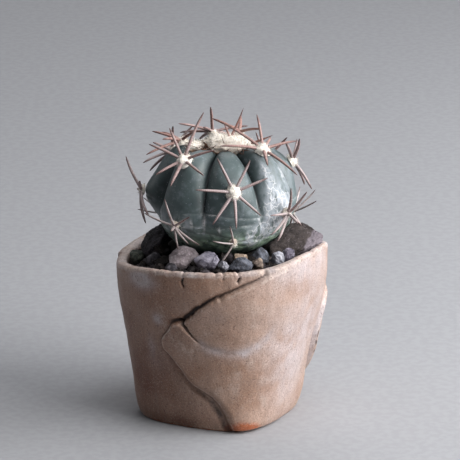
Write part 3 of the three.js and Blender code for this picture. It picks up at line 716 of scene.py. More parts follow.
@dataclass(frozen=True)
class Stoneware(Finish):
    """Unglazed speckled clay with haze and a bare foot, painted sheen on the lit side, worn edges with
    painted highlights, and painted shade in seams, cracks and on the shaded side.
    """

    name: str = "stoneware"
    clay: Colour = srgb(167, 138, 121)
    warm: Colour = srgb(152, 117, 95)
    pale: Colour = srgb(190, 170, 158)
    # Whitish haze film, also used as painted sheen on the lit right side.
    haze_and_sheen: Colour = srgb(188, 178, 180)
    shade: Colour = srgb(46, 33, 29)
    # Painted shade: darker warm clay for the shaded left side and the contact shadow at the foot.
    left_shade_colour: Colour = srgb(112, 71, 52)
    bare: Colour = srgb(168, 94, 56)
    iron: Colour = srgb(82, 54, 42)
    grain: Colour = srgb(224, 208, 196)

    def paint(self, g: Graph, place: object, effects: Effects) -> Look:
        """Lays painted shade on the shaded side, haze with painted sheen, bare clay, worn edges with painted
        highlights, specks and painted shade in the seams over the clay.

        Args:
            g: the material's graph.
            place: the coordinates' socket.
            effects: the shared effects.

        Returns:
            What the shader shows.
        """
        cloud = g.noise(place, 26.0, 1.3)
        blotch = g.noise(place, 7.0, 4.1, 4.0)
        colour = g.mix(self.clay, self.warm, g.fit(cloud, 0.42, 0.68))
        colour = g.mix(colour, self.pale, g.fit(blotch, 0.52, 0.76, 0.0, 0.55))
        # Painted shade over the left side and the foot.
        colour = g.mix(colour, self.left_shade_colour, g.times(g.value("left_shade"), g.fit(cloud, 0.3, 0.6, 0.6, 1.0)))
        # Haze film, partly painted sheen where the light falls.
        haze_and_sheen_share = g.times(g.value("haze_and_sheen"), g.fit(blotch, 0.25, 0.6, 0.45, 1.0))
        colour = g.mix(colour, self.haze_and_sheen, haze_and_sheen_share)
        ragged = g.times(g.math("ADD", blotch, g.noise(place, 1.8, 6.6)), 0.4)
        bare = g.fit(g.math("ADD", g.value("bare"), ragged), 0.62, 1.05)
        colour = g.mix(colour, self.bare, bare)
        # Worn edges in the pale grain colour, partly painted highlights along slab edges and the tongue.
        patchy = g.fit(g.noise(place, 1.6, 2.7), 0.42, 0.62)
        wear_and_highlight_amount = g.times(g.value("wear_and_highlight"), g.math("MAXIMUM", patchy, g.fit(g.value("wear_and_highlight"), 0.5, 0.9)))
        colour = g.mix(colour, self.grain, g.times(wear_and_highlight_amount, 0.85))
        colour = effects.flecked(g, place, colour, self.iron, 1150.0, 0.63, 0.5)
        colour = effects.flecked(g, place, colour, self.grain, 1700.0, 0.6, 0.2)
        spots = g.fit(g.cells(place, 3.7), 0.08, 0.045)
        colour = g.mix(colour, self.iron, g.times(spots, 0.7))
        # Painted shade: darkens seams, crevices and cracks where slab edges and cuts would shade them.
        colour = g.mix(colour, self.shade, g.fit(g.value("seam_shade"), 0.1, 0.95))
        pits = g.noise(place, 0.8, 8.2, 4.0)
        streaks = g.fit(g.noise(g.stretched(place, 0.12), 1.5, 5.3), 0.35, 0.65, 0.94, 1.06)
        brightness = g.times(g.fit(pits, 0.3, 0.7, 0.86, 1.12), streaks)
        tint = g.add("HueSaturation", {}, Color=colour, Value=brightness)
        height = g.math("ADD", g.times(pits, 0.8), g.times(blotch, 0.9))
        height = g.math("SUBTRACT", height, g.times(spots, 0.5))
        gloss = g.fit(blotch, 0.3, 0.7, 0.42, 0.58)
        return Look(tint.outputs[0], gloss, height, 0.55, 0.0004, {"Specular IOR Level": 0.6})


@dataclass(frozen=True)
class StemSkin(Finish):
    """Waxy blue-green skin with bloom, corky scars and a greener foot, plus painted shade in the grooves,
    painted highlights and glints on the bloom and scars, and painted light on the underside.
    """

    name: str = "stem_skin"
    skin: Colour = srgb(82, 96, 97)
    deep: Colour = srgb(52, 65, 67)
    grey: Colour = srgb(122, 132, 140)
    # Whitish bloom, partly painted highlight on the lit side.
    bloom_and_highlight: Colour = srgb(196, 202, 212)
    cork: Colour = srgb(222, 222, 224)
    green: Colour = srgb(80, 98, 88)
    # Light young green, also used as painted light on the underside.
    young: Colour = srgb(138, 160, 136)
    # Painted shade in the grooves.
    groove: Colour = srgb(20, 28, 30)

    def paint(self, g: Graph, place: object, effects: Effects) -> Look:
        """Lays clouds, new green skin with painted underside light, bloom with painted highlights, crackle,
        scars with painted glints and painted groove shade over the skin.

        Args:
            g: the material's graph.
            place: the coordinates' socket.
            effects: the shared effects.

        Returns:
            What the shader shows.
        """
        cloud = g.noise(place, 15.0, 3.4)
        mottle = g.noise(place, 2.6, 6.2, 4.0)
        colour = g.mix(self.skin, self.deep, g.fit(cloud, 0.45, 0.7, 0.0, 0.75))
        colour = g.mix(colour, self.grey, g.fit(mottle, 0.48, 0.72, 0.0, 0.5))
        foot = g.times(g.value("age"), g.fit(cloud, 0.25, 0.6, 0.55, 1.0))
        colour = g.mix(colour, self.green, foot)
        # Young green skin, partly painted light on the underside.
        colour = g.mix(colour, self.young, g.times(g.value("young"), g.fit(mottle, 0.35, 0.6)))
        drips = g.fit(g.noise(g.stretched(place, 0.35), 2.6, 9.1, 4.0), 0.36, 0.58)
        # Bloom, partly painted highlight.
        colour = g.mix(colour, self.bloom_and_highlight, g.times(g.times(g.value("bloom_and_highlight"), drips), 0.72))
        warped = g.add("VectorMath", {"operation": "MULTIPLY_ADD"})
        wild = g.add("TexNoise", {}, Vector=place, Scale=260.0, Detail=2.0)
        g.feed(warped.inputs[0], wild.outputs["Color"])
        warped.inputs[1].default_value = (0.004, 0.004, 0.007)
        g.feed(warped.inputs[2], place)
        crackle = g.fit(g.cells(warped.outputs[0], 4.2, "DISTANCE_TO_EDGE"), 0.075, 0.02)
        lines = g.times(crackle, g.fit(g.value("bloom_and_highlight"), 0.3, 0.75))
        colour = g.mix(colour, self.cork, g.times(lines, 0.6))
        # Corky scars, partly painted glints on the glossy lower stem.
        scar_and_glint = g.times(g.value("scar_and_glint"), g.fit(g.noise(place, 1.3, 5.5), 0.36, 0.55))
        colour = g.mix(colour, self.cork, g.times(scar_and_glint, 0.8))
        # Painted shade in the grooves.
        colour = g.mix(colour, self.groove, g.times(g.value("groove"), 0.9))
        colour = effects.flecked(g, place, colour, self.bloom_and_highlight, 1300.0, 0.68, 0.35)
        height = g.math("ADD", g.times(mottle, 0.5), g.times(g.noise(place, 0.5, 2.2), 0.2))
        height = g.math("ADD", height, g.times(g.math("MAXIMUM", lines, scar_and_glint), 0.9))
        dull = g.math("SUBTRACT", g.fit(mottle, 0.3, 0.7, 0.4, 0.58), g.times(g.value("gloss"), 0.24))
        plain = {"Specular IOR Level": 0.5, "Coat Weight": 0.12, "Coat Roughness": 0.45}
        return Look(colour, dull, height, 0.4, 0.00035, plain)


@dataclass(frozen=True)
class HornySpine(Finish):
    """Pink-beige horn with painted shade on the side away from the light, dark tips and cross bands."""

    name: str = "spine_horn"
    root: Colour = srgb(178, 168, 170)
    middle: Colour = srgb(168, 152, 152)
    # Brown, also used as painted shade on the flank away from the light.
    brown: Colour = srgb(108, 74, 68)
    tip: Colour = srgb(80, 54, 52)
    red: Colour = srgb(164, 114, 98)
    grey: Colour = srgb(206, 198, 196)

    def paint(self, g: Graph, place: object, effects: Effects) -> Look:
        """Lays painted shade on the flank away from the light, a dark tip and cross bands over the horn.

        Args:
            g: the material's graph.
            place: the coordinates' socket.
            effects: the shared effects.

        Returns:
            What the shader shows.
        """
        along = g.value("along")
        colour = g.mix(self.root, self.middle, g.fit(along, 0.02, 0.5))
        colour = g.mix(colour, self.red, g.times(g.value("fresh"), 0.75))
        colour = g.mix(colour, self.grey, g.times(g.value("old"), 0.75))
        streak = g.fit(g.noise(place, 1.1, 3.3), 0.42, 0.66)
        # Painted shade on the flank that faces away from the light.
        flank = g.times(g.value("flank"), g.fit(streak, 0.0, 1.0, 0.55, 1.0))
        colour = g.mix(colour, self.brown, g.times(flank, 0.92))
        colour = g.mix(colour, self.tip, g.fit(along, 0.66, 0.98, 0.0, 0.9))
        colour = g.mix(colour, self.brown, g.times(g.value("fresh"), g.fit(streak, 0.0, 1.0, 0.1, 0.55)))
        bands = g.math("SINE", g.times(along, 130.0))
        colour = g.mix(colour, self.brown, g.fit(bands, 0.3, 1.0, 0.0, 0.2))
        colour = effects.flecked(g, place, colour, self.grey, 1800.0, 0.62, 0.3)
        dull = g.fit(streak, 0.0, 1.0, 0.45, 0.6)
        return Look(colour, dull, g.math("ADD", bands, streak), 0.25, 0.00012)


@dataclass(frozen=True)
class Felt(Finish):
    """Dense plant wool, cream with browner bits between the fibres."""

    name: str = "felt"
    cream: Colour = srgb(240, 232, 220)
    light: Colour = srgb(252, 248, 242)
    brown: Colour = srgb(170, 138, 112)
    brown_share: float = 0.2

    def paint(self, g: Graph, place: object, effects: Effects) -> Look:
        """Lays brown and dry patches between pale fibres.

        Args:
            g: the material's graph.
            place: the coordinates' socket.
            effects: the shared effects.

        Returns:
            What the shader shows.
        """
        lumps = g.noise(place, 2.4, 1.8, 4.0)
        hairs = g.noise(place, 0.45, 7.7)
        colour = g.mix(self.cream, self.light, g.fit(hairs, 0.4, 0.65))
        colour = g.mix(colour, self.brown, g.fit(lumps, 0.5, 0.72, 0.0, self.brown_share))
        colour = g.mix(colour, self.brown, g.times(g.value("dry"), 0.9))
        colour = effects.flecked(g, place, colour, self.brown, 900.0, 0.7, 0.25)
        height = g.math("ADD", lumps, g.times(hairs, 0.6))
        dull = g.fit(hairs, 0.3, 0.7, 0.85, 1.0)
        return Look(colour, dull, height, 0.5, 0.0004, {"Sheen Weight": 0.25, "Specular IOR Level": 0.1})


@dataclass(frozen=True)
class BrokenStone(Finish):
    """Rough crushed stone in three tones with dust flecks, and painted light on its lit faces."""

    name: str
    dark: Colour
    middle: Colour
    light: Colour
    dust: Colour = srgb(150, 136, 126)
    size: float = 1.0
    dusty: float = 0.22
    glint: float = 1.0
    toned: bool = False

    def paint(self, g: Graph, place: object, effects: Effects) -> Look:
        """Lays freshly broken spots, tones and dust over the grain.

        Args:
            g: the material's graph.
            Lays painted light on the lit faces, tones and dust over the grain.
            effects: the shared effects.

        Returns:
            What the shader shows.
        """
        spark = tuple(low + (high - low) * self.glint for low, high in zip(self.middle, self.light))
        grit = g.group(
            effects.grit, Vector=place, Dark=self.dark, Middle=self.middle, Light=spark, Size=self.size
        )
        # Painted light on the lit faces.
        colour = g.mix(grit.outputs["Colour"], self.light, g.times(g.value("lit"), 0.65))
        if self.toned:
            tone = g.value("tone")
            colour = g.mix(colour, self.dust, g.fit(tone, 0.75, 1.0, 0.0, 0.4))
            colour = g.mix(colour, self.dark, g.fit(tone, 0.5, 0.0, 0.0, 0.75))
        colour = effects.flecked(g, place, colour, self.dust, 1100.0, 0.66, self.dusty)
        height = grit.outputs["Height"]
        dull = g.fit(height, 0.3, 0.8, 0.75, 0.95)
        return Look(colour, dull, height, 0.9, 0.0007, {"Specular IOR Level": 0.35})


def hand_over(obj: bpy.types.Object, material: bpy.types.Material, slot: Slot, *nodes: str) -> None:
    """Gives a finished piece its material, its body and the solids that it stands for.

    Args:
        obj: the piece.
        material: its finish.
        slot: the record's material slot; not used.
        nodes: the solids that it replaces.
    """
    obj.data.materials.clear()
    obj.data.materials.append(material)
    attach(obj, "root")
    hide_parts(*nodes)
    LOG.info("%s: %d faces, stands for %s", obj.name, len(obj.data.polygons), ", ".join(nodes))


@dataclass(frozen=True)
class Slab:
    """A slab of clay folded over the wall, by its free edge.

    Heights are in millimetres and bearings in degrees. The edge runs with the slab on its right.
    """

    edge: Knots
    closing: Knots
    foot_lift: float
    rim_lift: float
    full: float
    gone: float
    turns: tuple[float, float]
    lip: float = 1.7
    crease: float = 0.8

    def bearing(self, bearing: np.ndarray) -> np.ndarray:
        """Gives bearings on the turn of the circle that the slab's edge is written in."""
        low = self.turns[0]
        return (bearing - low) % 360 + low

    def lift(self, bearing: np.ndarray, height: np.ndarray) -> np.ndarray:
        """How far the slab stands out of the wall, away from its edge.

        Args:
            bearing: bearings on the slab's own turn.
            height: heights.

        Returns:
            Lifts in millimetres.
        """
        climb = ease(50, 85, height)
        sign = 1 if self.gone > self.full else -1
        fading = ease(sign * self.full, sign * self.gone, sign * bearing)
        return (self.foot_lift + (self.rim_lift - self.foot_lift) * climb) * (1 - fading)


def edge_distance(edge: Knots, closing: Knots, bearing: np.ndarray, height: np.ndarray) -> np.ndarray:
    """Signed distance over the wall to a slab's free edge.

    Args:
        edge: the free edge as (bearing, height).
        closing: the way back round the slab.
        bearing: bearings of the points.
        height: heights of the points.

    Returns:
        Millimetres, more than 0 on the slab.
    """
    path = np.array(edge, dtype=float) * (WALL_REACH, 1)
    x, y = bearing * WALL_REACH, height
    nearest = np.full(x.shape, 1e9)
    for (ax, ay), (bx, by) in zip(path, path[1:]):
        dx, dy = bx - ax, by - ay
        t = np.clip(((x - ax) * dx + (y - ay) * dy) / (dx * dx + dy * dy), 0, 1)
        nearest = np.minimum(nearest, np.hypot(x - ax - t * dx, y - ay - t * dy))
    loop = np.vstack([path, np.array(closing, dtype=float) * (WALL_REACH, 1)])
    inside = np.zeros(x.shape, dtype=bool)
    for (ax, ay), (bx, by) in zip(loop, np.roll(loop, -1, axis=0)):
        if ay != by:
            inside ^= ((ay > y) != (by > y)) & (x < (bx - ax) * (y - ay) / (by - ay) + ax)
    return np.where(inside, nearest, -nearest)


@dataclass
class PotForm:
    """The shape of the pot's wall, from the same values as the solid."""

    radii: Knots = (
        (0, 35.8), (1, 36.6), (2.5, 37.2), (5, 38), (12, 39.3), (20, 40.5), (34, 43.5),
        (48, 46.3), (58, 48.2), (66, 49.3), (80, 50),
    )
    rim: Knots = (
        (-150, 79), (-130, 76.6), (-110, 75.2), (-85, 75), (-65, 77.2), (-40, 80), (0, 82), (25, 83),
        (47, 85.5), (60, 85.5), (78, 84.6), (90, 82.4), (112, 78.5), (145, 77.4), (180, 78.5),
    )
    turn: float = 18.0
    squareness: tuple[float, float] = (0.055, 0.015)
    lean: float = 1.7
    lean_top: float = 50.0
    wall: float = 5.0
    rim_wall: Knots = (
        (-120, 4.4), (-85, 5.2), (-60, 5), (-35, 4), (0, 3.6), (25, 3.4), (38, 2.6), (60, 2.6),
        (80, 3.6), (110, 3.6), (150, 3.6), (180, 3.6),
    )
    thins: float = 0.66
    rounding: float = 2.5
    floor: float = 7.0
    height: float = 80.0

    def radius(self, bearing: np.ndarray, height: np.ndarray) -> np.ndarray:
        """Outer radius of the plain wall.

        Args:
            bearing: bearings in degrees.
            height: heights in millimetres.

        Returns:
            Radii in millimetres.
        """
        share = np.clip(np.asarray(height) / self.height, 0, 1)
        square = self.squareness[0] + (self.squareness[1] - self.squareness[0]) * share
        corners = np.cos(np.radians(4 * (bearing - self.turn)))
        return through_knots(self.radii, height) * (1 + square * corners)

    def rim_height(self, bearing: np.ndarray) -> np.ndarray:
        """Height of the rim at each bearing."""
        return through_knots(round_the_clock(self.rim), wrapped(bearing))

    def thickness(self, bearing: np.ndarray, height: np.ndarray) -> np.ndarray:
        """Thickness of the wall, which thins towards the rim.

        Args:
            bearing: bearings in degrees.
            height: heights in millimetres.

        Returns:
            Millimetres.
        """
        climb = (height - 5) / (self.rim_height(bearing) - self.rounding - 5)
        share = np.clip((climb - self.thins) / (1 - self.thins), 0, 1)
        at_rim = through_knots(round_the_clock(self.rim_wall), wrapped(bearing))
        return self.wall + (at_rim - self.wall) * share

    def point(self, bearing: np.ndarray, radius: np.ndarray, height: np.ndarray) -> np.ndarray:
        """Points by bearing, radius and height, leaning as the foot does.

        Args:
            bearing: bearings in degrees.
            radius: distances from the axis.
            height: heights.

        Returns:
            Points in millimetres.
        """
        lean = self.lean * np.maximum(1 - np.asarray(height) / self.lean_top, 0)
        turn = np.radians(bearing)
        return np.stack(
            np.broadcast_arrays(radius * np.sin(turn) - lean, -radius * np.cos(turn), height), axis=-1
        )


FRONT_SLAB = Slab(
    edge=(
        (10, -12), (9, 0.5), (6.8, 4), (4, 9), (-0.5, 13.8), (-5, 17.4), (-11.5, 20.6), (-18, 22.9),
        (-22.3, 25.6), (-26, 30), (-30, 33.8), (-34.2, 37.3), (-38.1, 40.4), (-39, 43.5), (-38.4, 46),
        (-34.7, 50.2), (-30.2, 54.6), (-26.4, 56), (-23, 56.4), (-21.4, 57.9), (-15, 62.5), (-7.7, 67.4),
        (0, 71), (7.1, 73.8), (15.4, 76.7), (24.7, 80.4), (31, 82), (36.6, 83.4), (44, 88), (50, 95),
    ),
    closing=((150, 95), (150, -12)),
    foot_lift=2.0, rim_lift=3.5, full=10, gone=80, turns=(-160, 200),
)
EAR_SLAB = Slab(
    edge=(
        (127, -12), (126, 0.5), (122, 2), (112, 9), (98, 18), (88, 28), (86, 32), (84, 38), (84, 42),
        (85, 47), (88, 52), (95, 57), (104, 59), (118, 64), (142, 75), (155, 81), (168, 95),
    ),
    closing=((300, 95), (300, -12)),
    foot_lift=2.0, rim_lift=2.2, full=150, gone=205, turns=(0, 360), crease=0.9,
)
BACK_SLAB = Slab(
    edge=(
        (-175, -12), (-176, 0.5), (-168, 8), (-156, 20), (-140, 36), (-124, 50), (-110, 64), (-100, 72),
        (-99, 95),
    ),
    closing=((-300, 95), (-300, -12)),
    foot_lift=1.6, rim_lift=1.8, full=-150, gone=-240, turns=(-300, 60), crease=0.5,
)


@dataclass(frozen=True)
class Crack:
    """A short crack that runs down from the rim."""

    bearing: float
    length: float
    width: float = 0.55
    depth: float = 1.5
    start: float = 0.0


@dataclass(frozen=True)
class Patch:
    """A soft patch of another finish: its place and its half sizes, in degrees and millimetres."""

    at: tuple[float, float]
    half: tuple[float, float]
    strength: float = 1.0

    def share(self, x: np.ndarray, y: np.ndarray) -> np.ndarray:
        """How much of the patch there is at bearings, and at heights or angles down from the top."""
        away = (wrapped(x - self.at[0]) / self.half[0]) ** 2 + ((y - self.at[1]) / self.half[1]) ** 2
        return self.strength * np.exp(-away)


@dataclass(frozen=True)
class WallGrid:
    """Where the wall's points are.

    Bearings of its columns, heights of the rim, the rim unrolled to a flat sheet, and heights of the
    outer side, in degrees and millimetres.
    """

    columns: np.ndarray
    rim: np.ndarray
    edge: np.ndarray
    outer: np.ndarray

    @property
    def below(self) -> np.ndarray:
        """How far each outer point is below the rim."""
        return self.rim - self.outer


@dataclass
class Pot:
    """Hand-built stoneware pot, folded from overlapping slabs."""

    form: PotForm = field(default_factory=PotForm)
    slabs: tuple[Slab, ...] = (FRONT_SLAB, EAR_SLAB, BACK_SLAB)
    drain: float = 6.0
    notch: Knots = (
        (-25.2, 57.3), (-22.4, 55.4), (-20.4, 53.5), (-18.6, 51.4), (-15.4, 48.6), (-10.2, 46),
    )
    notch_back: Knots = ((-10.2, -60), (-90, -60), (-90, 90))
    fold: Knots = (
        (-15, 47.5), (-10, 45.3), (-4, 43.3), (2, 42.1), (9, 41.9), (16, 43.2), (22, 46.2), (27.5, 50),
        (34, 54),
    )
    spans: tuple[tuple[float, float, float], ...] = (
        (-48, 34, 0.5), (34, 78, 1.1), (78, 104, 0.65), (104, 312, 1.6),
    )
    foot_rows: tuple[float, ...] = (0.35, 0.9, 1.6, 2.5, 3.6)
    wall_start: float = 4.6
    wall_rows: int = 122
    lip_angles: tuple[float, ...] = (10, 22, 35, 48, 62, 76, 90, 104, 118, 132, 145, 158, 170)
    inner_start: float = 12.0
    inner_rows: int = 22
    foot_mark: Patch = Patch((17, 0.5), (12.5, 5.6), 1.1)
    cracks: tuple[Crack, ...] = (
        Crack(-22, 6.6, 0.42, 1.7), Crack(0.5, 2.6, 0.5, 1.6), Crack(8.7, 4.4, 0.5, 1.8),
        Crack(-66, 2.6, 0.6, 2.4, 0.4), Crack(-3.6, 1.6, 0.8, 1.1), Crack(-39, 1.2, 0.5, 0.8),
        Crack(60, 3, 0.5, 1.2), Crack(120, 4, 0.5, 1.4), Crack(-130, 4.5, 0.5, 1.4),
        Crack(170, 3.5, 0.5, 1.4),
    )
    # Whitish haze patches; those on the right side and the right rim are painted sheen where the light
    # falls.
    hazes_and_sheens: tuple[Patch, ...] = (
        Patch((-50, 74.5), (7.5, 3.6), 1.0), Patch((-50, 73), (10, 5), 0.5),
        Patch((-40, 55.5), (3.5, 2.6), 0.7), Patch((62, 55), (34, 50), 0.45), Patch((50, 80), (30, 7), 0.5),
        Patch((-47.5, 40), (3, 6), 0.3), Patch((-42, 34), (12, 7), 0.15), Patch((24, 45), (9, 4), 0.3),
        Patch((42, 34), (14, 16), 0.25), Patch((38, 52), (16, 14), 0.2), Patch((55, 22), (16, 16), 0.3),
        Patch((70, 48), (16, 18), 0.3), Patch((-4, 62), (8, 5), 0.1), Patch((140, 40), (30, 18), 0.2),
        Patch((-140, 45), (30, 18), 0.2), Patch((180, 25), (25, 12), 0.2),
    )
    # Painted shade: patches on the shaded left side, and a painted contact shadow at the foot.
    left_shade_patches: tuple[Patch, ...] = (
        Patch((-62, 14), (34, 26), 0.75), Patch((-74, 52), (32, 34), 0.6), Patch((-15, 6), (18, 8), 0.35),
        Patch((-36, 1.5), (20, 4), 0.8), Patch((-34, 54), (30, 34), 0.35),
    )

    def bearings(self) -> np.ndarray:
        """Columns of the wall, closest where the folds show.

        Returns:
            Bearings in degrees.
        """
        parts = []
        for start, end, step in self.spans:
            count = round((end - start) / step)
            parts.append(np.arange(start, end, (end - start) / count)[:count])
        return np.concatenate(parts)

    def relief(self, bearing: np.ndarray, height: np.ndarray) -> dict[str, np.ndarray]:
        """Everything that stands out of the plain wall or is cut into it.

        Args:
            bearing: bearings of the wall's points.
            height: their heights.

        Returns:
            The relief in millimetres, and the shares of painted seam shade, of worn edge with painted
            highlight, and of haze with painted sheen.
        """
        flat = on_wall(bearing, height)
        ragged = rough(flat, 2.1, 3.0) * 0.12 + rough(flat, 6.0, 5.0) * 0.35
        torn = ease(-30, -20, bearing) * ease(10, -2, bearing) * ease(55, 58, height)
        ragged = ragged + torn * rough(flat, 1.6, 8.0) * 0.5
        facts = {key: np.zeros_like(height) for key in ("proud", "seam_shade", "wear_and_highlight", "cut", "chalk_and_highlight")}
        for slab in self.slabs:
            self.lay(slab, bearing, flat, ragged, facts)
        tongue = ease(-27, -31, bearing) * ease(44, 47, height) * ease(57, 54, height)
        front = FRONT_SLAB.bearing(bearing)
        edge = edge_distance(FRONT_SLAB.edge, FRONT_SLAB.closing, front, height) + ragged
        # Pale tongue edge: partly wear, partly painted highlight.
        wear_and_highlight = np.maximum(facts["wear_and_highlight"], bell(edge - 0.8, 0.55) * tongue)
        crevice, below = self.crevice(bearing, height)
        cut = facts["cut"] + 1.7 * crevice + 0.35 * self.band(bearing, height)
        dips = rough(flat, 17.0, 1.0) * 0.5 + rough(flat, 6.5, 2.0) * 0.2 + rough(flat, 2.2, 4.0) * 0.06
        corner = 1.3 * bell(wrapped(bearing - 17), 8) * ease(16, 1, height)
        hollows = 0.7 * bell(wrapped(bearing + 4), 9) + 0.5 * bell(wrapped(bearing - 40), 12)
        dips = dips + corner - hollows * ease(14, 1, height)
        cloudy = 0.75 + 0.5 * rough(flat, 4.0, 3.0)
        # Painted shade in seams and the crevice, worn edges with painted highlights, haze with painted
        # sheen.
        return {
            "relief": facts["proud"] + 0.7 * below - cut + dips,
            "seam_shade": np.maximum(facts["seam_shade"], 0.85 * crevice),
            "wear_and_highlight": np.maximum(wear_and_highlight, np.clip(2.6 * below * (1 - 2 * below), 0, 1) * 0.8),
            "haze_and_sheen": 0.8 * self.band(bearing, height, 2.7) * cloudy + facts["chalk_and_highlight"],
        }

    def lay(
        self, slab: Slab, bearing: np.ndarray, flat: np.ndarray, ragged: np.ndarray,
        facts: dict[str, np.ndarray],
    ) -> None:
        """Lays one slab over the wall, with the groove along its edge.

        Args:
            slab: the slab.
            bearing: bearings of the wall's points.
            flat: the same points on the unrolled wall.
            ragged: how far the edges stray.
            facts: what the slabs add up to, which is updated.
        """
        height = flat[..., 1]
        turned = slab.bearing(bearing)
        off = edge_distance(slab.edge, slab.closing, turned, height) + ragged
        low, lowest, high = ease(48, 20, height), ease(24, 10, height), ease(76, 80, height)
        upper = ease(54, 58, height) * (slab is FRONT_SLAB)
        open_fold = ease(4, -16, bearing) * ease(52, 57, height) * ease(-45, -30, bearing)
        lift = slab.lift(turned, height) * (1 + 0.35 * low)
        profile = 1 - (1 - np.clip(off / (slab.lip * (1 + 1.5 * low)), 0, 1)) ** 2.2
        facts["proud"] = np.maximum(facts["proud"], lift * profile)
        there = ease(0.2, 1.2, lift)
        wide = (0.6 + 0.35 * open_fold + 0.12 * upper + 0.5 * low) * (1 - 0.4 * high)
        groove = bell(off + 0.35 + 0.3 * open_fold, wide) * there
        facts["cut"] += (slab.crease + 0.6 * open_fold + 0.3 * upper - 0.4 * high) * groove
        band = low * there * bell(off + 1.1 + 0.9 * lowest, 1.1 + 1.1 * lowest)
        facts["cut"] += (1.0 + 0.6 * lowest) * band * (off < 1)
        # Painted shade in the groove along the slab's edge and in the broad band beside it.
        dark = 0.2 if slab is EAR_SLAB else 0.5 + 0.3 * open_fold + 0.25 * upper
        shade = (0.5 + 0.15 * lowest) * band * (0.8 + 0.5 * rough(flat, 3.0, 7.0))
        facts["seam_shade"] = np.maximum(np.maximum(facts["seam_shade"], groove * dark), shade)
        # Pale slab edge: partly wear, partly painted highlight.
        wear_and_highlight_amount = 0.15 if slab is EAR_SLAB else 0.45
        facts["wear_and_highlight"] = np.maximum(facts["wear_and_highlight"], bell(off - 1.1, 0.7) * there * wear_and_highlight_amount)
        if slab is EAR_SLAB:
            facts["chalk_and_highlight"], split = self.ear_marks(turned, flat, off, there)
            facts["seam_shade"] = np.maximum(facts["seam_shade"], split)

    def ear_marks(
        self, bearing: np.ndarray, flat: np.ndarray, off: np.ndarray, there: np.ndarray
    ) -> tuple[np.ndarray, np.ndarray]:
        """The ear's chalky edge with a painted highlight along it, and the broken crack inside it in painted
        shade.

        Args:
            bearing: bearings on the ear's own turn.
            flat: the same points on the unrolled wall.
            off: how far inside the ear's edge they are.
            there: how far the ear stands out.

        Returns:
            Shares of chalk with painted highlight, and of painted shade in the crack.
        """
        height = flat[..., 1]
        front = ease(104, 96, bearing)
        # Chalky pale edge, partly painted highlight along the ear's edge.
        chalk_and_highlight = bell(off - 0.7, 1.0) * there * front * (0.05 + 0.5 * ease(62, 48, height))
        split = bell(off - 2.0 + 0.4 * rough(flat, 3.0, 2.0), 0.6) * there * front
        broken = ease(-0.4, 0.0, rough(flat, 3.5, 9.0))
        return chalk_and_highlight, split * broken * ease(22, 28, height) * ease(62, 56, height)

    def band(self, bearing: np.ndarray, height: np.ndarray, width: float = 1.5) -> np.ndarray:
        """Share of the shallow fold that runs on from the crevice across the front.

        Args:
            bearing: bearings of the wall's points.
            height: their heights.
            width: its half width.

        Returns:
            Shares from 0 to 1.
        """
        middle = through_knots(self.fold, bearing)
        ends = ease(-16, -10, bearing) * ease(32, 22, bearing)
        return bell(height - middle, width) * ends

    def crevice(self, bearing: np.ndarray, height: np.ndarray) -> tuple[np.ndarray, np.ndarray]:
        """The open fold beside the tongue.

        Args:
            bearing: bearings of the wall's points.
            height: their heights.

        Returns:
            Shares of the crevice, and of the tongue below it.
        """
        off = edge_distance(self.notch, self.notch_back, bearing, height)
        off = off + rough(on_wall(bearing, height), 1.5, 6.0) * 0.35
        along = ease(-9, -25, bearing)
        wide = 0.22 + 0.2 * along + 0.5 * ease(-17, -22, bearing)
        near = bell(off, wide) * ease(-11.5, -15.5, bearing) * ease(58.5, 56.5, height)
        return near, ease(0.0, 1.2, off) * bell(off, 7) * along * ease(-8, -14, bearing)

    def layout(self) -> WallGrid:
        """Lays out the wall's points, with chips and open cracks along the rim.

        Returns:
            The wall's grid.
        """
        columns = self.bearings()
        rim = self.form.rim_height(columns)
        edge = on_wall(columns, rim)
        fine, wide = rough(edge, 1.5, 9.0), rough(edge, 5.5, 10.0)
        chips = np.maximum(fine - 0.3, 0) * 0.6 + np.maximum(wide - 0.1, 0) * 0.7
        rim = rim - chips * 0.8
        for crack in self.cracks:
            gap = bell(wrapped(columns - crack.bearing) * WALL_REACH, crack.width + 0.15)
            rim = rim - (0.6 * gap if crack.start == 0 else 0)
        rise = rim - self.form.rounding - self.wall_start
        heights = [np.full_like(columns, z) for z in self.foot_rows]
        heights += [self.wall_start + rise * share for share in np.linspace(0, 1, self.wall_rows)]
        return WallGrid(columns, rim, edge, np.array(heights))

    def cracked(
        self, grid: WallGrid, relief: np.ndarray, seam_shade: np.ndarray
    ) -> tuple[np.ndarray, np.ndarray]:
        """Cuts the cracks into the wall.

        Args:
            grid: the wall's points.
            relief: the relief without the cracks.
            seam_shade: the share of painted shade in seams and cracks without them.

        Returns:
            The relief and the share of painted shade in seams and cracks with them.
        """
        for crack in self.cracks:
            line = wrapped(grid.columns - crack.bearing) * WALL_REACH
            sway = 0.5 * np.sin(grid.below * 1.1 + crack.bearing)
            split = bell(line + sway, crack.width) * ease(crack.length + 0.8, crack.length - 1, grid.below)
            split = split * ease(crack.start - 0.6, crack.start + 0.2, grid.below)
            relief = relief - crack.depth * split
            # Painted shade inside each crack.
            seam_shade = np.maximum(seam_shade, split)
        return relief, seam_shade

    def foot_rings(self, columns: np.ndarray) -> list[np.ndarray]:
        """Rings from the drain hole out over the foot's underside.

        Args:
            columns: bearings of the wall's columns.

        Returns:
            The rings' points.
        """
        form = self.form
        hole = ((self.drain, 1.2), (self.drain + 0.4, 0.4), (self.drain + 1.4, 0.05))
        base = form.radius(columns, np.zeros_like(columns))
        return [
            *(form.point(columns, np.full_like(columns, r), z) for r, z in hole),
            *(form.point(columns, base * share, 0.0) for share in (0.4, 0.6, 0.8, 0.93, 0.98)),
        ]

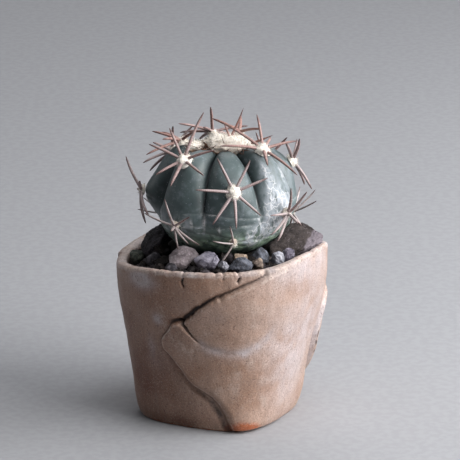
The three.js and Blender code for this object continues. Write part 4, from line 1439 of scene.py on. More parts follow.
    def lip_rings(self, grid: WallGrid, last: np.ndarray) -> list[np.ndarray]:
        """Rings round the rounded lip.

        Args:
            grid: the wall's points.
            last: relief of the wall's top row.

        Returns:
            The rings' points.
        """
        form, columns = self.form, grid.columns
        top = grid.rim - form.rounding
        thick = form.thickness(columns, top) + last
        wobble = rough(grid.edge, 4.0, 12.0) * 0.15
        rings = []
        for angle in np.radians(self.lip_angles):
            across = math.copysign(abs(math.cos(angle)) ** 0.72, math.cos(angle))
            inset = thick / 2 * (1 - across)
            lower = form.rounding * (1 - math.sin(angle) ** 0.55) + wobble * math.sin(angle)
            rings.append(form.point(columns, form.radius(columns, top) + last - inset, grid.rim - lower))
        return rings

    def inner_rings(self, grid: WallGrid) -> list[np.ndarray]:
        """Rings down the inner side and over the floor to the drain hole.

        Args:
            grid: the wall's points.

        Returns:
            The rings' points.
        """
        form, columns = self.form, grid.columns
        top = grid.rim - form.rounding
        rings = []
        for share in np.linspace(1, 0, self.inner_rows) ** 1.5:
            z = self.inner_start + (top - self.inner_start) * share
            inner = np.stack([columns * math.radians(40), z, np.full_like(z, 50.0)], axis=-1)
            shrink = form.thickness(columns, z) - rough(inner, 9.0, 1.5) * 0.2 * ease(top, top - 6, z)
            rings.append(form.point(columns, form.radius(columns, z) - shrink, z))
        for extra, z in ((1.5, 8.5), (4.0, form.floor), (16.0, form.floor)):
            height = np.full_like(columns, z)
            rings.append(form.point(columns, form.radius(columns, height) - form.wall - extra, z))
        for radius, z in ((self.drain + 0.6, form.floor), (self.drain, form.floor - 0.6)):
            rings.append(form.point(columns, np.full_like(columns, radius), z))
        return rings

    def shares(
        self, grid: WallGrid, facts: dict[str, np.ndarray], rows: int, wall: slice, lip: slice
    ) -> dict[str, np.ndarray]:
        """How much of each part of the finish there is all over the pot.

        Args:
            grid: the wall's points.
            facts: shares of painted seam shade, of worn edge with painted highlight, and of haze with
                painted sheen on the wall.
            rows: number of all rings.
            wall: the rings of the outer side.
            lip: the rings of the lip.

        Returns:
            Shares by the name that the finish reads, each as (ring, column).
        """
        names = ("seam_shade", "wear_and_highlight", "haze_and_sheen", "bare", "left_shade")
        shares = {name: np.zeros((rows, len(grid.columns))) for name in names}
        # Haze with painted sheen, and painted shade on the left side.
        hazes_and_sheens, left_shade_patches = (
            sum(patch.share(grid.columns, grid.outer) for patch in patches)
            for patches in (self.hazes_and_sheens, self.left_shade_patches)
        )
        frost = np.clip(0.55 + 0.6 * rough(grid.edge, 5.0, 21.0), 0, 1)
        # Worn edges with painted highlights.
        wear_and_highlight_amount = np.maximum(facts["wear_and_highlight"], 0.35 * ease(3.0, 1.6, grid.below))
        haze_and_sheen_share = np.clip(hazes_and_sheens + facts["haze_and_sheen"], 0, 1)
        foot = self.foot_mark.share(grid.columns, grid.outer)
        shares["seam_shade"][wall] = facts["seam_shade"]
        shares["seam_shade"][lip] = facts["seam_shade"][-1] * 0.3
        shares["wear_and_highlight"][wall] = np.maximum(wear_and_highlight_amount, 0.35 * ease(2.2, 0.4, grid.outer))
        shares["wear_and_highlight"][lip] = 0.4
        shares["haze_and_sheen"][wall] = np.maximum(haze_and_sheen_share, frost * ease(2.6, 0.8, grid.below))
        shares["haze_and_sheen"][lip] = frost
        shares["bare"][wall] = np.maximum(foot, 0.75 * ease(1.6, 0.2, grid.outer))
        shares["bare"][: wall.start] = 0.75
        shares["left_shade"][wall] = np.clip(left_shade_patches, 0, 1)
        return shares

    def build(self, material: bpy.types.Material) -> None:
        """Makes the pot: a sleeve of rings from the drain hole round the wall and back.

        Args:
            material: the stoneware.
        """
        grid = self.layout()
        columns, outer = grid.columns, grid.outer
        facts = self.relief(np.broadcast_to(columns, outer.shape), outer)
        last = facts["relief"][-1]
        relief, facts["seam_shade"] = self.cracked(grid, facts["relief"] * ease(0.0, 2.0, outer), facts["seam_shade"])
        reach = self.form.radius(columns, outer) + relief
        rings = self.foot_rings(columns)
        wall = slice(len(rings), len(rings) + len(outer))
        rings += [self.form.point(columns, r, z) for r, z in zip(reach, outer)]
        rings += self.lip_rings(grid, last)
        lip = slice(wall.stop, len(rings))
        rings += self.inner_rings(grid)
        obj, ring, turn = sleeve("pot_stoneware", len(columns), len(rings))
        set_points(obj, to_metres(np.array(rings)[ring, turn]))
        for name, values in self.shares(grid, facts, len(rings), wall, lip).items():
            mark(obj, name, values[ring, turn])
        close_ends(obj, ring, bridge=True)
        smooth(obj)
        hand_over(obj, material, Slot.STONEWARE, "pot")


# Bearings of the ribs, and what the photographed plant's own areoles differ in from the even lattice:
# degrees aside and down, how far the rib swells, the cushion's size, and its spines as clock angle,
# lift, length and hook.
RIBS = {"A": -86.0, "B": -40.0, "C": 9.0, "D": 57.0, "E": 104.0, "F": 147.0, "G": 190.0, "H": 231.0}
NUDGES = {
    "B1": (-3.5, 0), "E1": (5.5, -3), "H1": (0, -7), "C2": (-9.5, 0), "B2": (-3, 4), "D2": (3, -3.5),
    "E2": (0, 7),
}
SWELLINGS = {"A1": 3.1}
PAD_SIZES = {"A1": 0.62, "F1": 0.85, "F0": 0.5, "G1": 0.62, "A0": 0.72, "H1": 0.85, "E1": 0.82}
HAND_SPINES: dict[str, tuple[tuple[float, ...], ...]] = {
    "C1": (
        (-24, 14, 18.5), (29, 18, 17.5), (70, 16, 18), (134, 12, 17), (180, 14, 18), (-143, 12, 19),
        (-85, 20, 20),
    ),
    "B1": (
        (6, 30, 26, 0.12), (-47, 42, 19), (-95, 38, 20), (-160, 26, 17), (165, 15, 18), (110, 10, 18),
        (60, 14, 17),
    ),
    "D1": (
        (-17, 18, 19.5), (15, 53, 19), (72, 12, 14), (120, 28, 19), (-175, 8, 23), (-132, 12, 17),
        (-52, 4, 22),
    ),
    "E1": ((-40, 38, 17), (68, 40, 15), (-34, 12, 17), (118, 20, 10), (-165, 11, 17), (160, 6, 17)),
    "A1": ((-12, 38, 19), (-106, 22, 7), (138, 4, 18, 0.22), (116, 6, 19, 0.3), (60, 16, 16)),
    "G1": (
        (8, 40, 17), (60, 13, 21), (30, 4, 13), (115, 18, 17), (165, 14, 18), (-140, 16, 17), (-85, 14, 18),
    ),
    "H1": (
        (18, 14, 17), (62, 12, 18), (110, 16, 17), (160, 22, 17), (-150, 24, 18), (-95, 18, 17),
        (-40, 12, 16),
    ),
    "B2": (
        (-2, 20, 17), (-72, 15, 17), (108, 20, 18), (101, 38, 18), (62, 60, 13), (55, 16, 15), (170, 18, 12),
    ),
    "C2": ((-6, 10, 14), (-62, 22, 13), (-150, 30, 13), (-162, 26, 13)),
    "D2": (
        (-18, 25, 17), (10, 43, 17), (-79, 13, 17), (-94, 60, 16), (-112, 17, 18), (126, 6, 16),
        (-122, 24, 19),
    ),
    "A0": ((148, 8, 21), (-122, 17, 17), (127, 30, 17), (48, 33, 15), (-165, 34, 16)),
    "F0": ((-2, 36, 14), (-80, 24, 16), (150, 20, 18), (80, 28, 16)),
}


@dataclass(frozen=True)
class Areole:
    """A woolly cushion on a rib: its name, bearing, angle down from the top and how far the rib swells."""

    name: str
    bearing: float
    down: float
    swelling: float = 1.2


@dataclass
class StemForm:
    """The shape of the ribbed stem, from the same values as the solid."""

    middle: np.ndarray = field(default_factory=lambda: np.array([0.0, 0.0, 105.0]))
    crest: Knots = (
        (0, 22), (18, 25.8), (30.5, 29.6), (41, 32.1), (53, 33.9), (65, 34.7), (78.5, 35.2), (90, 35.5),
        (100, 35.3), (109.5, 34.5), (119, 33.1), (129, 31.6), (140.5, 29.8), (153, 28.6), (163, 30.4),
        (168.7, 35.7), (173.7, 45.3), (177.4, 55.1), (180, 59),
    )
    depth: Knots = (
        (0, 0), (15, 0.06), (28, 0.12), (42, 0.155), (70, 0.15), (83, 0.11), (93, 0.055), (105, 0.02),
        (120, 0),
    )
    deepest: float = 0.155
    sharpness: float = 3.0
    flank: Knots = (
        (45, 0), (62, 1), (75, 1.6), (90, 2.2), (97, 3), (104, 4.4), (110, 4), (118, 3), (130, 1.5),
        (142, 0),
    )
    flank_bearing: float = -92.0
    flank_width: float = 30.0
    swelling_radius: float = 7.0
    lattice: str = "DGBEHCFA"
    lattice_start: float = 41.5
    lattice_step: float = 6.0

    def __post_init__(self) -> None:
        """Lists the areoles from the crown down."""
        self.areoles: list[Areole] = []
        for n in range(-2, 15):
            rib = self.lattice[n % 8]
            name = f"{rib}{n // 8 + 1}"
            lower, aside = NUDGES.get(name, (0, 0))
            down = self.lattice_start + self.lattice_step * n + lower
            self.areoles.append(Areole(name, RIBS[rib] + aside, down, SWELLINGS.get(name, 1.2)))

    def direction(self, bearing: np.ndarray | float, down: np.ndarray | float) -> np.ndarray:
        """Direction from the stem's middle.

        Args:
            bearing: bearings in degrees.
            down: angles down from the top.

        Returns:
            Unit vectors.
        """
        b, d = np.radians(bearing), np.radians(down)
        parts = np.broadcast_arrays(np.sin(d) * np.sin(b), -np.sin(d) * np.cos(b), np.cos(d))
        return np.stack(parts, axis=-1)

    def groove_share(self, bearing: np.ndarray) -> np.ndarray:
        """Gives 0 on a rib's crest and 1 in the groove between two ribs.

        Args:
            bearing: bearings in degrees.

        Returns:
            Shares from 0 to 1.
        """
        crests = np.array(list(RIBS.values()))
        after = np.append(crests[1:], crests[0] + 360)
        turned = bearing - 360 * np.floor((bearing - crests[0]) / 360)
        i = np.searchsorted(crests, turned, side="right") - 1
        return 1 - np.abs(2 * (turned - crests[i]) / (after[i] - crests[i]) - 1)

    def crest_distance(self, bearing: np.ndarray | float, down: np.ndarray | float) -> np.ndarray:
        """Distance from the stem's middle to the surface without its grooves."""
        aside = wrapped(bearing - self.flank_bearing) / self.flank_width
        return through_knots(self.crest, down) - through_knots(self.flank, down) * bell(aside, 1.0)

    def on_crest(self, bearing: float, down: float, extra: float = 0.0) -> np.ndarray:
        """Point on a rib's crest, or a little over it."""
        return self.direction(bearing, down) * (self.crest_distance(bearing, down) + extra) + self.middle

    def distance(self, bearing: np.ndarray, down: np.ndarray) -> np.ndarray:
        """Distance from the stem's middle to its surface.

        Args:
            bearing: bearings in degrees.
            down: angles down from the top.

        Returns:
            Millimetres.
        """
        crest = self.crest_distance(bearing, down)
        groove = through_knots(self.depth, down) * self.groove_share(bearing) ** self.sharpness
        here = self.direction(bearing, down) * crest[..., None]
        most = np.zeros_like(crest)
        for areole in self.areoles:
            seat = self.on_crest(areole.bearing, areole.down) - self.middle
            apart = np.linalg.norm(seat - here, axis=-1)
            most = np.maximum(most, areole.swelling * bell(apart, self.swelling_radius))
        return crest * (1 - groove) + most

    def angles(self, points: np.ndarray) -> tuple[np.ndarray, np.ndarray, np.ndarray]:
        """Turns points into angles about the stem's middle.

        Args:
            points: points in millimetres.

        Returns:
            Bearings, angles down and distances.
        """
        away = points - self.middle
        length = np.linalg.norm(away, axis=-1)
        down = np.degrees(np.arccos(np.clip(away[..., 2] / length, -1, 1)))
        return np.degrees(np.arctan2(away[..., 0], -away[..., 1])), down, length


@dataclass
class Stem:
    """The round ribbed body of the plant."""

    form: StemForm
    segments: int = 340
    rings: int = 200
    # Bloom patches; some stand in for highlights on the lit right side and on the bright bulge low down.
    blooms_and_highlights: tuple[Patch, ...] = (
        Patch((46, 60), (5, 12), 0.8), Patch((48, 78), (9, 9), 1.0), Patch((40, 86), (6, 5), 0.6),
        Patch((62, 85), (8, 8), 0.6), Patch((78, 68), (13, 18), 0.45), Patch((64, 64), (7, 10), 0.4),
        Patch((12, 66), (4, 4), 0.3), Patch((44, 93), (9, 2), 0.9),
        Patch((44, 105), (12, 9), 0.9), Patch((30, 112), (9, 6), 0.8), Patch((-42, 100), (12, 9), 0.35),
        Patch((-60, 94), (9, 4), 0.35), Patch((150, 75), (10, 14), 0.6), Patch((-130, 80), (9, 12), 0.5),
        Patch((36, 106), (11, 7), 0.95), Patch((27, 115), (4, 7), 1.0), Patch((52, 100), (10, 8), 0.7),
        Patch((22, 112), (9, 1.4), 0.6), Patch((-19, 100), (4, 0.9), 0.8), Patch((-16, 105), (8, 0.8), 0.7),
        Patch((24, 108), (12, 8), 0.4), Patch((58, 92), (8, 6), 0.6), Patch((42, 98), (7, 4), 0.9),
        Patch((-30, 97), (8, 5), 0.4), Patch((-38, 104), (8, 5), 0.45), Patch((180, 100), (26, 4), 0.5),
    )
    # Young green patches low down, also painted light on the underside.
    greens_and_lit_underside: tuple[Patch, ...] = (
        Patch((40, 118), (14, 8), 1.0), Patch((14, 117), (24, 9), 1.0), Patch((52, 112), (8, 9), 0.8),
        Patch((-22, 117), (20, 6), 0.5), Patch((200, 115), (30, 6), 0.6),
    )
    # Pale ticks: partly scars, partly painted glints on the glossy lower stem.
    ticks: tuple[tuple[float, float, float], ...] = (
        (-14.5, 96, 7), (-24, 97, 3), (31.5, 81.5, 4), (30.5, 96, 4), (28, 88, 2), (-2, 101, 2.5),
        (38, 104, 3), (54, 95, 4), (-62, 90, 5), (140, 92, 5), (-150, 96, 5), (95, 98, 4), (210, 90, 6),
        (12, 118, 3),
    )
    lines: tuple[tuple[Knots, float], ...] = (
        (
            ((-70, 86), (-40, 90), (-21, 88.2), (-5, 89), (10, 90.5), (28, 93), (45, 92.5), (65, 91),
             (180, 89)),
            1.0,
        ),
        (
            ((-60, 108), (-34, 110), (-20, 103.6), (-10, 105), (3, 107), (14, 103), (25, 111), (42, 114),
             (60, 108), (180, 105)),
            1.0,
        ),
        (((-60, 97), (-25, 98), (-12, 99), (20, 98), (34, 101), (50, 104), (180, 97)), 0.35),
        (((22, 97), (30, 98), (38, 101), (48, 106), (60, 108), (180, 120)), 0.8),
    )

    def build(self, material: bpy.types.Material) -> None:
        """Shapes a ball into the ribbed stem and its root.

        Args:
            material: the skin.
        """
        deselect()
        bpy.ops.mesh.primitive_uv_sphere_add(segments=self.segments, ring_count=self.rings, radius=1.0)
        obj = bpy.context.object
        obj.name = obj.data.name = "cactus_stem_skin"
        unit_points = get_points(obj)
        bearing, down, _ = self.form.angles(unit_points + self.form.middle)
        reach = self.form.distance(bearing, down)
        share = self.form.groove_share(bearing)
        deep = through_knots(self.form.depth, down) / self.form.deepest
        skin = self.form.direction(bearing, down) * reach[:, None]
        crease = bell(1 - share, 0.055) * ease(0.06, 0.5, deep) * ease(97, 84, down)
        furrow = bell(wrapped(bearing + 63), 14) * ease(52, 66, down) * ease(98, 86, down)
        deepen = 0.3 * ease(72, 45, down) * ease(8, 25, down) + 0.7 * furrow
        reach = reach * (1 - deepen * through_knots(self.form.depth, down) * share**self.form.sharpness)
        lumps = rough(skin, 13.0, 2.0) * 0.35 + rough(skin, 4.5, 3.0) * 0.1
        waist = self.waist(bearing, down, skin)
        above = down < 135
        old = ease(96, 104, down)
        flat = np.stack([bearing * 0.55, down * 0.6, np.zeros_like(down)], axis=-1)
        creased = 1 - np.abs(rough(flat * np.array([0.3, 1.0, 1.0]), 1.7, 5.0)) * 2.2
        wrinkles = old * np.clip(creased, -0.5, 1) * 0.55 * ease(-0.35, 0.4, rough(skin, 8.0, 8.0))
        dents = ease(88, 98, down) * rough(skin, 5.5, 14.0) * 0.55
        reach = reach - np.where(above, 0.9 * crease - lumps + waist["fold"] + wrinkles + dents, 0)
        set_points(obj, to_metres(self.form.direction(bearing, down) * reach[:, None] + self.form.middle))
        ticks = np.zeros_like(down)
        for at, low, half in self.ticks:
            sway = rough(skin, 3.0, at) * 1.2
            away = -((wrapped(bearing - at + sway) / 0.8) ** 2) - ((down - low) / half) ** 2
            ticks = np.maximum(ticks, np.exp(away))
        # Painted shade in the furrow between ribs A and B, and deeper in the grooves towards the crown.
        furrow_shade = bell(wrapped(bearing + 67.5), 6.5) * ease(48, 62, down) * ease(99, 88, down)
        shade = share**4 * deep * (0.3 + 0.45 * ease(62, 38, down)) * ease(100, 86, down) + 0.5 * furrow_shade
        mark(obj, "groove", np.clip(crease + shade, 0, 1))
        for name, patches in (("bloom_and_highlight", self.blooms_and_highlights), ("young", self.greens_and_lit_underside)):
            mark(obj, name, np.clip(sum(patch.share(bearing, down) for patch in patches), 0, 1))
        mark(obj, "age", ease(94, 112, down))
        mark(obj, "scar_and_glint", np.clip(np.maximum(ticks, waist["line"]), 0, 1))
        mark(obj, "gloss", ease(92, 106, down) * ease(-0.3, 0.3, rough(skin, 5.0, 11.0)))
        face_outwards(obj)
        smooth(obj)
        hand_over(obj, material, Slot.SKIN, "cactus_stem")

    def waist(self, bearing: np.ndarray, down: np.ndarray, skin: np.ndarray) -> dict[str, np.ndarray]:
        """Old growth lines that run round the lower stem.

        Args:
            bearing: bearings of the skin's points.
            down: their angles down from the top.
            skin: the points about the stem's middle.

        Returns:
            Shares of the folds and of their pale lines.
        """
        fold = np.zeros_like(down)
        line = np.zeros_like(down)
        sway = rough(skin, 9.0, 6.0) * 1.1 + rough(skin, 2.5, 7.0) * 0.4
        for number, (knots, strength) in enumerate(self.lines):
            off = down - through_knots(round_the_clock(knots), wrapped(bearing)) - sway
            part = strength * ease(-0.3, 0.25, rough(skin, 9.0, number + 89.0))
            bulge = 0.3 * ease(0.5, 2.5, off) * np.exp(-np.maximum(off, 0) / 5)
            fold = fold + part * (0.4 * bell(off, 0.9) - bulge)
            faint = ease(-0.2, 0.35, rough(skin, 6.0, number + 31.0))
            line = np.maximum(line, 0.75 * part * (0.25 + 0.75 * faint) * bell(off - 0.5, 0.4))
        return {"fold": fold, "line": line}


@dataclass
class Ground:
    """The surface of the top dressing, from the same values as the solid."""

    foot: float = 83.5
    foot_radius: float = 24.0
    edge_radius: float = 45.0
    edge: Knots = (
        (-150, 73), (-115, 70), (-80, 69.5), (-50, 73), (-20, 77), (20, 78.5), (60, 80.5), (85, 79),
        (112, 75.5), (150, 74.5), (180, 74.5),
    )

    def height(self, bearing: np.ndarray, radius: np.ndarray) -> np.ndarray:
        """Height of the gravel at bearings and distances from the axis."""
        share = np.clip((radius - self.foot_radius) / (self.edge_radius - self.foot_radius), 0, 1)
        return self.foot + (through_knots(round_the_clock(self.edge), wrapped(bearing)) - self.foot) * share


@dataclass(frozen=True)
class SpineLine:
    """Centre line of one spine: root, direction, outward direction, length and hook."""

    root: np.ndarray
    along: np.ndarray
    out: np.ndarray
    length: float
    hook: float

    def at(self, share: np.ndarray) -> np.ndarray:
        """Points at shares of its length."""
        s = np.asarray(share, dtype=float)[..., None]
        return self.root + self.along * self.length * s - self.out * self.hook * self.length * s * s


@dataclass
class Areoles:
    """The woolly cushions on the ribs, each with its bunch of spines."""

    form: StemForm
    ground: Ground
    pad_radius: float = 3.8
    pad_height: float = 4.1
    spine_radius: float = 0.8
    spine_root: float = 1.4
    hook: float = 0.15
    common_length: tuple[float, float] = (15.5, 19.0)
    common_lift: tuple[float, float] = (12.0, 30.0)
    common_count: int = 7
    hairs: int = 150
    clearance: float = 1.0
    spine_gap: float = 2.1
    attempts: int = 24
    seed: int = 977
    hair_seed: int = 300

    def frame(self, areole: Areole) -> tuple[np.ndarray, np.ndarray, np.ndarray, np.ndarray]:
        """Seat on the crest, and the directions to the crown, to the right and outwards.

        Args:
            areole: the areole.

        Returns:
            The four vectors.
        """
        seat = self.form.on_crest(areole.bearing, areole.down, areole.swelling + 0.3)
        above, below = (self.form.on_crest(areole.bearing, areole.down + step) for step in (-0.5, 0.5))
        turn = math.radians(areole.bearing)
        aside = np.array([math.cos(turn), math.sin(turn), 0.0])
        towards = unit(above - below)
        return seat, towards, aside, np.cross(aside, towards)

    def line(self, areole: Areole, clock: float, lift: float, length: float, hook: float) -> SpineLine:
        """Centre line of a spine.

        Args:
            areole: its areole.
            clock: its angle round the areole, 0 towards the crown.
            lift: its angle from the surface.
            length: its length.
            hook: share of its length that it curves down.

        Returns:
            The line.
        """
        seat, towards, aside, out = self.frame(areole)
        c, e = math.radians(clock), math.radians(lift)
        along = (towards * math.cos(c) + aside * math.sin(c)) * math.cos(e) + out * math.sin(e)
        return SpineLine(seat + out * self.spine_root, along, out, length, hook)

    def is_clear(self, line: SpineLine, others: np.ndarray) -> bool:
        """Whether a spine keeps off the stem, the gravel and the spines of other areoles.

        Args:
            line: the spine's centre line.
            others: points on the other spines.

        Returns:
            True if it is clear.
        """
        points = line.at(np.arange(3, 13) / 12)
        bearing, down, length = self.form.angles(points)
        if np.any(length - self.form.distance(bearing, down) <= self.clearance):
            return False
        ground = self.ground.height(bearing, np.hypot(points[:, 0], points[:, 1]))
        if np.any(points[:, 2] < ground + self.clearance):
            return False
        gaps = np.linalg.norm(points[:, None] - others[None], axis=-1)
        return bool(np.all(gaps >= self.spine_gap))

    def place_spines(self) -> dict[str, list[SpineLine]]:
        """Chooses every spine as the solids have it.

        Returns:
            Centre lines by the areole's name.
        """
        draw = Drawer(self.seed)
        by_hand = [areole for areole in self.form.areoles if areole.name in HAND_SPINES]
        by_rule = [areole for areole in self.form.areoles if areole.name not in HAND_SPINES]
        taken = np.empty((0, 3))
        placed: dict[str, list[SpineLine]] = {}
        for areole in by_hand + by_rule:
            others = taken.copy()
            placed[areole.name] = []
            for row in HAND_SPINES.get(areole.name) or self.common_rows(draw):
                clock, lift, length = row[:3]
                hook = row[3] if len(row) > 3 else self.hook
                for attempt in range(self.attempts):
                    turn = (1 if attempt % 2 else -1) * math.ceil(attempt / 2) * 6
                    line = self.line(areole, clock + turn, min(lift + attempt, 70), length, hook)
                    if self.is_clear(line, others):
                        placed[areole.name].append(line)
                        taken = np.vstack([taken, line.at(np.arange(17) / 16)])
                        break
        return placed

    def common_rows(self, draw: Drawer) -> list[tuple[float, float, float]]:
        """Draws the spines of an areole that has none listed.

        Args:
            draw: random numbers.

        Returns:
            Clock angle, lift and length of each spine.
        """
        first = draw() * 360
        rows = []
        for k in range(self.common_count):
            clock = first + 360 * (k + 0.4 * draw()) / self.common_count
            rows.append((clock, draw.between(*self.common_lift), draw.between(*self.common_length)))
        return rows

    def build(self, horn: bpy.types.Material, felt: bpy.types.Material) -> None:
        """Makes every areole's cushion and spines.

        Args:
            horn: finish of the spines.
            felt: finish of the cushions.
        """
        needle, ring, turn = sleeve("needle", 8, 14)
        close_ends(needle, ring, bridge=False)
        hair = Hair()
        placed = self.place_spines()
        for number, areole in enumerate(self.form.areoles):
            node = f"areole_{areole.name}"
            ages = {
                "fresh": float(ease(62, 30, areole.down)) * 0.9 + 0.08,
                "old": float(ease(80, 112, areole.down)),
            }
            spines = self.spines(node + "_spines", needle, ring, turn, placed[areole.name], ages)
            smooth(spines)
            hand_over(spines, horn, Slot.SPINES, node)
            self.cushion(node, areole, number, hair, felt)
        remove(needle, hair.shape)

    def spines(
        self, name: str, needle: bpy.types.Object, ring: np.ndarray, turn: np.ndarray,
        lines: list[SpineLine], ages: dict[str, float],
    ) -> bpy.types.Object:
        """Bends one copy of the needle along each centre line.

        Args:
            name: the new object's name.
            needle: the shape that is repeated.
            ring: ring of each of its vertices.
            turn: place in the ring of each of its vertices.
            lines: the centre lines.
            ages: how red the spines still are, and how grey they have become.

        Returns:
            The object that holds the bunch.
        """
        share = 1 - (1 - ring / ring.max()) ** 1.25
        angle = turn / 8 * 2 * math.pi
        placed, along, flank = [], [], []
        for k, line in enumerate(lines):
            centre = line.at(share)
            wave = np.sin(share * 4.2 + k * 1.7)[:, None] * share[:, None] * 0.25
            ahead = unit(line.at(share + 0.03) - line.at(share - 0.03))
            side = unit(np.cross(np.array([0.3, 0.2, 1.0]), ahead))
            up = np.cross(ahead, side)
            taper = (1 - 0.24 * share) * (1 - share**6) ** 0.6 + 0.2 * bell(share, 0.05)
            width = (self.spine_radius * (1 - 0.4 * ages["old"]) * taper + 0.03)[:, None]
            flat = side * np.cos(angle)[:, None] * 1.08 + up * np.sin(angle)[:, None] * 0.92
            placed.append(centre + side * wave + flat * width)
            along.append(share)
            # Painted shade: the flank is the side facing away from the light, which comes from above and to
            # the right.
            lower = np.array([0.45, 0.05, 0.9])
            flank.append(ease(0.3, -0.35, np.sum(unit(flat) * lower, axis=-1)))
        values = {"along": np.array(along), "flank": np.array(flank)}
        for key, age in ages.items():
            values[key] = np.full((len(lines), len(share)), age)
        return copies(needle, name, to_metres(np.array(placed)), values)

    def cushion(
        self, node: str, areole: Areole, number: int, hair: "Hair", felt: bpy.types.Material
    ) -> None:
        """Makes an areole's woolly cushion.

        Args:
            node: the solid that it stands for.
            areole: its areole.
            number: picks its lumps.
            hair: the fibre that covers it.
            felt: its finish.
        """
        seat, towards, aside, out = self.frame(areole)
        obj = new_ball(4)
        obj.name = obj.data.name = node + "_wool"
        ball = get_points(obj)
        lumps = 1 + 0.16 * rough(ball, 0.55, number) + 0.1 * rough(ball, 0.25, number + 40)
        ball = ball * lumps[:, None]
        rise = np.where(ball[:, 2] > 0, self.pad_height, 0.7) * ball[:, 2]
        shrink = 1 - 0.5 * float(ease(82, 98, areole.down))
        size = self.pad_radius * shrink * PAD_SIZES.get(areole.name, 1.0)
        rise = rise * size / self.pad_radius
        shape = (np.outer(ball[:, 0], towards) + np.outer(ball[:, 1], aside) * 0.92) * size
        points = seat + shape + np.outer(rise, out)
        set_points(obj, to_metres(points))
        top = ball[:, 2] > -0.1
        draw = Drawer(self.hair_seed + number)
        picks = [int(draw() * top.sum()) for _ in range(self.hairs)]
        roots = points[top][picks]
        leaning = unit(roots - (seat - out * 1.2))
        tufts = hair.grow(roots, leaning, draw, (0.7, 1.5), 0.09)
        fibres = copies(hair.shape, node + "_hairs", to_metres(tufts), {"dry": np.zeros(tufts.shape[:2])})
        mark(obj, "dry", np.full(len(points), 0.6 * float(ease(88, 104, areole.down))))
        for piece in (obj, fibres):
            smooth(piece)
            hand_over(piece, felt, Slot.SPINES, node)


class Hair:
    """One fibre of wool, which is bent and copied."""

    def __init__(self) -> None:
        """Makes the fibre's straight shape."""
        self.shape, self.ring, self.turn = sleeve("fibre", 3, 5)
        close_ends(self.shape, self.ring, bridge=False)

    def grow(
        self, roots: np.ndarray, leaning: np.ndarray, draw: Drawer,
        length: tuple[float, float], radius: float,
    ) -> np.ndarray:
        """Bends a copy of the fibre from every root.

        Args:
            roots: where the fibres start.
            leaning: the direction that each starts in.
            draw: random numbers.
            length: shortest and longest fibre.
            radius: radius at the root.

        Returns:
            Vertices as (fibre, vertex, 3).
        """
        share = self.ring / self.ring.max()
        angle = self.turn / 3 * 2 * math.pi
        tufts = []
        for root, lean in zip(roots, leaning):
            wild = np.array([draw() - 0.5, draw() - 0.5, draw() - 0.5])
            ahead = unit(lean + wild * 1.1)
            side = unit(np.cross(ahead, wild + np.array([0.01, 0.02, 1.0])))
            up = np.cross(ahead, side)
            size = draw.between(*length)
            curl = draw.between(-0.7, 0.7)
            path = root + ahead * (share * size)[:, None] + side * (curl * size * share**2)[:, None]
            width = (radius * (1 - 0.85 * share))[:, None]
            tufts.append(path + around(side, up, angle) * width)
        return np.array(tufts)


@dataclass(frozen=True)
class Tuft:
    """A lump of wool: middle and half sizes in millimetres."""

    at: tuple[float, float, float]
    half: tuple[float, float, float]
    hairs: int


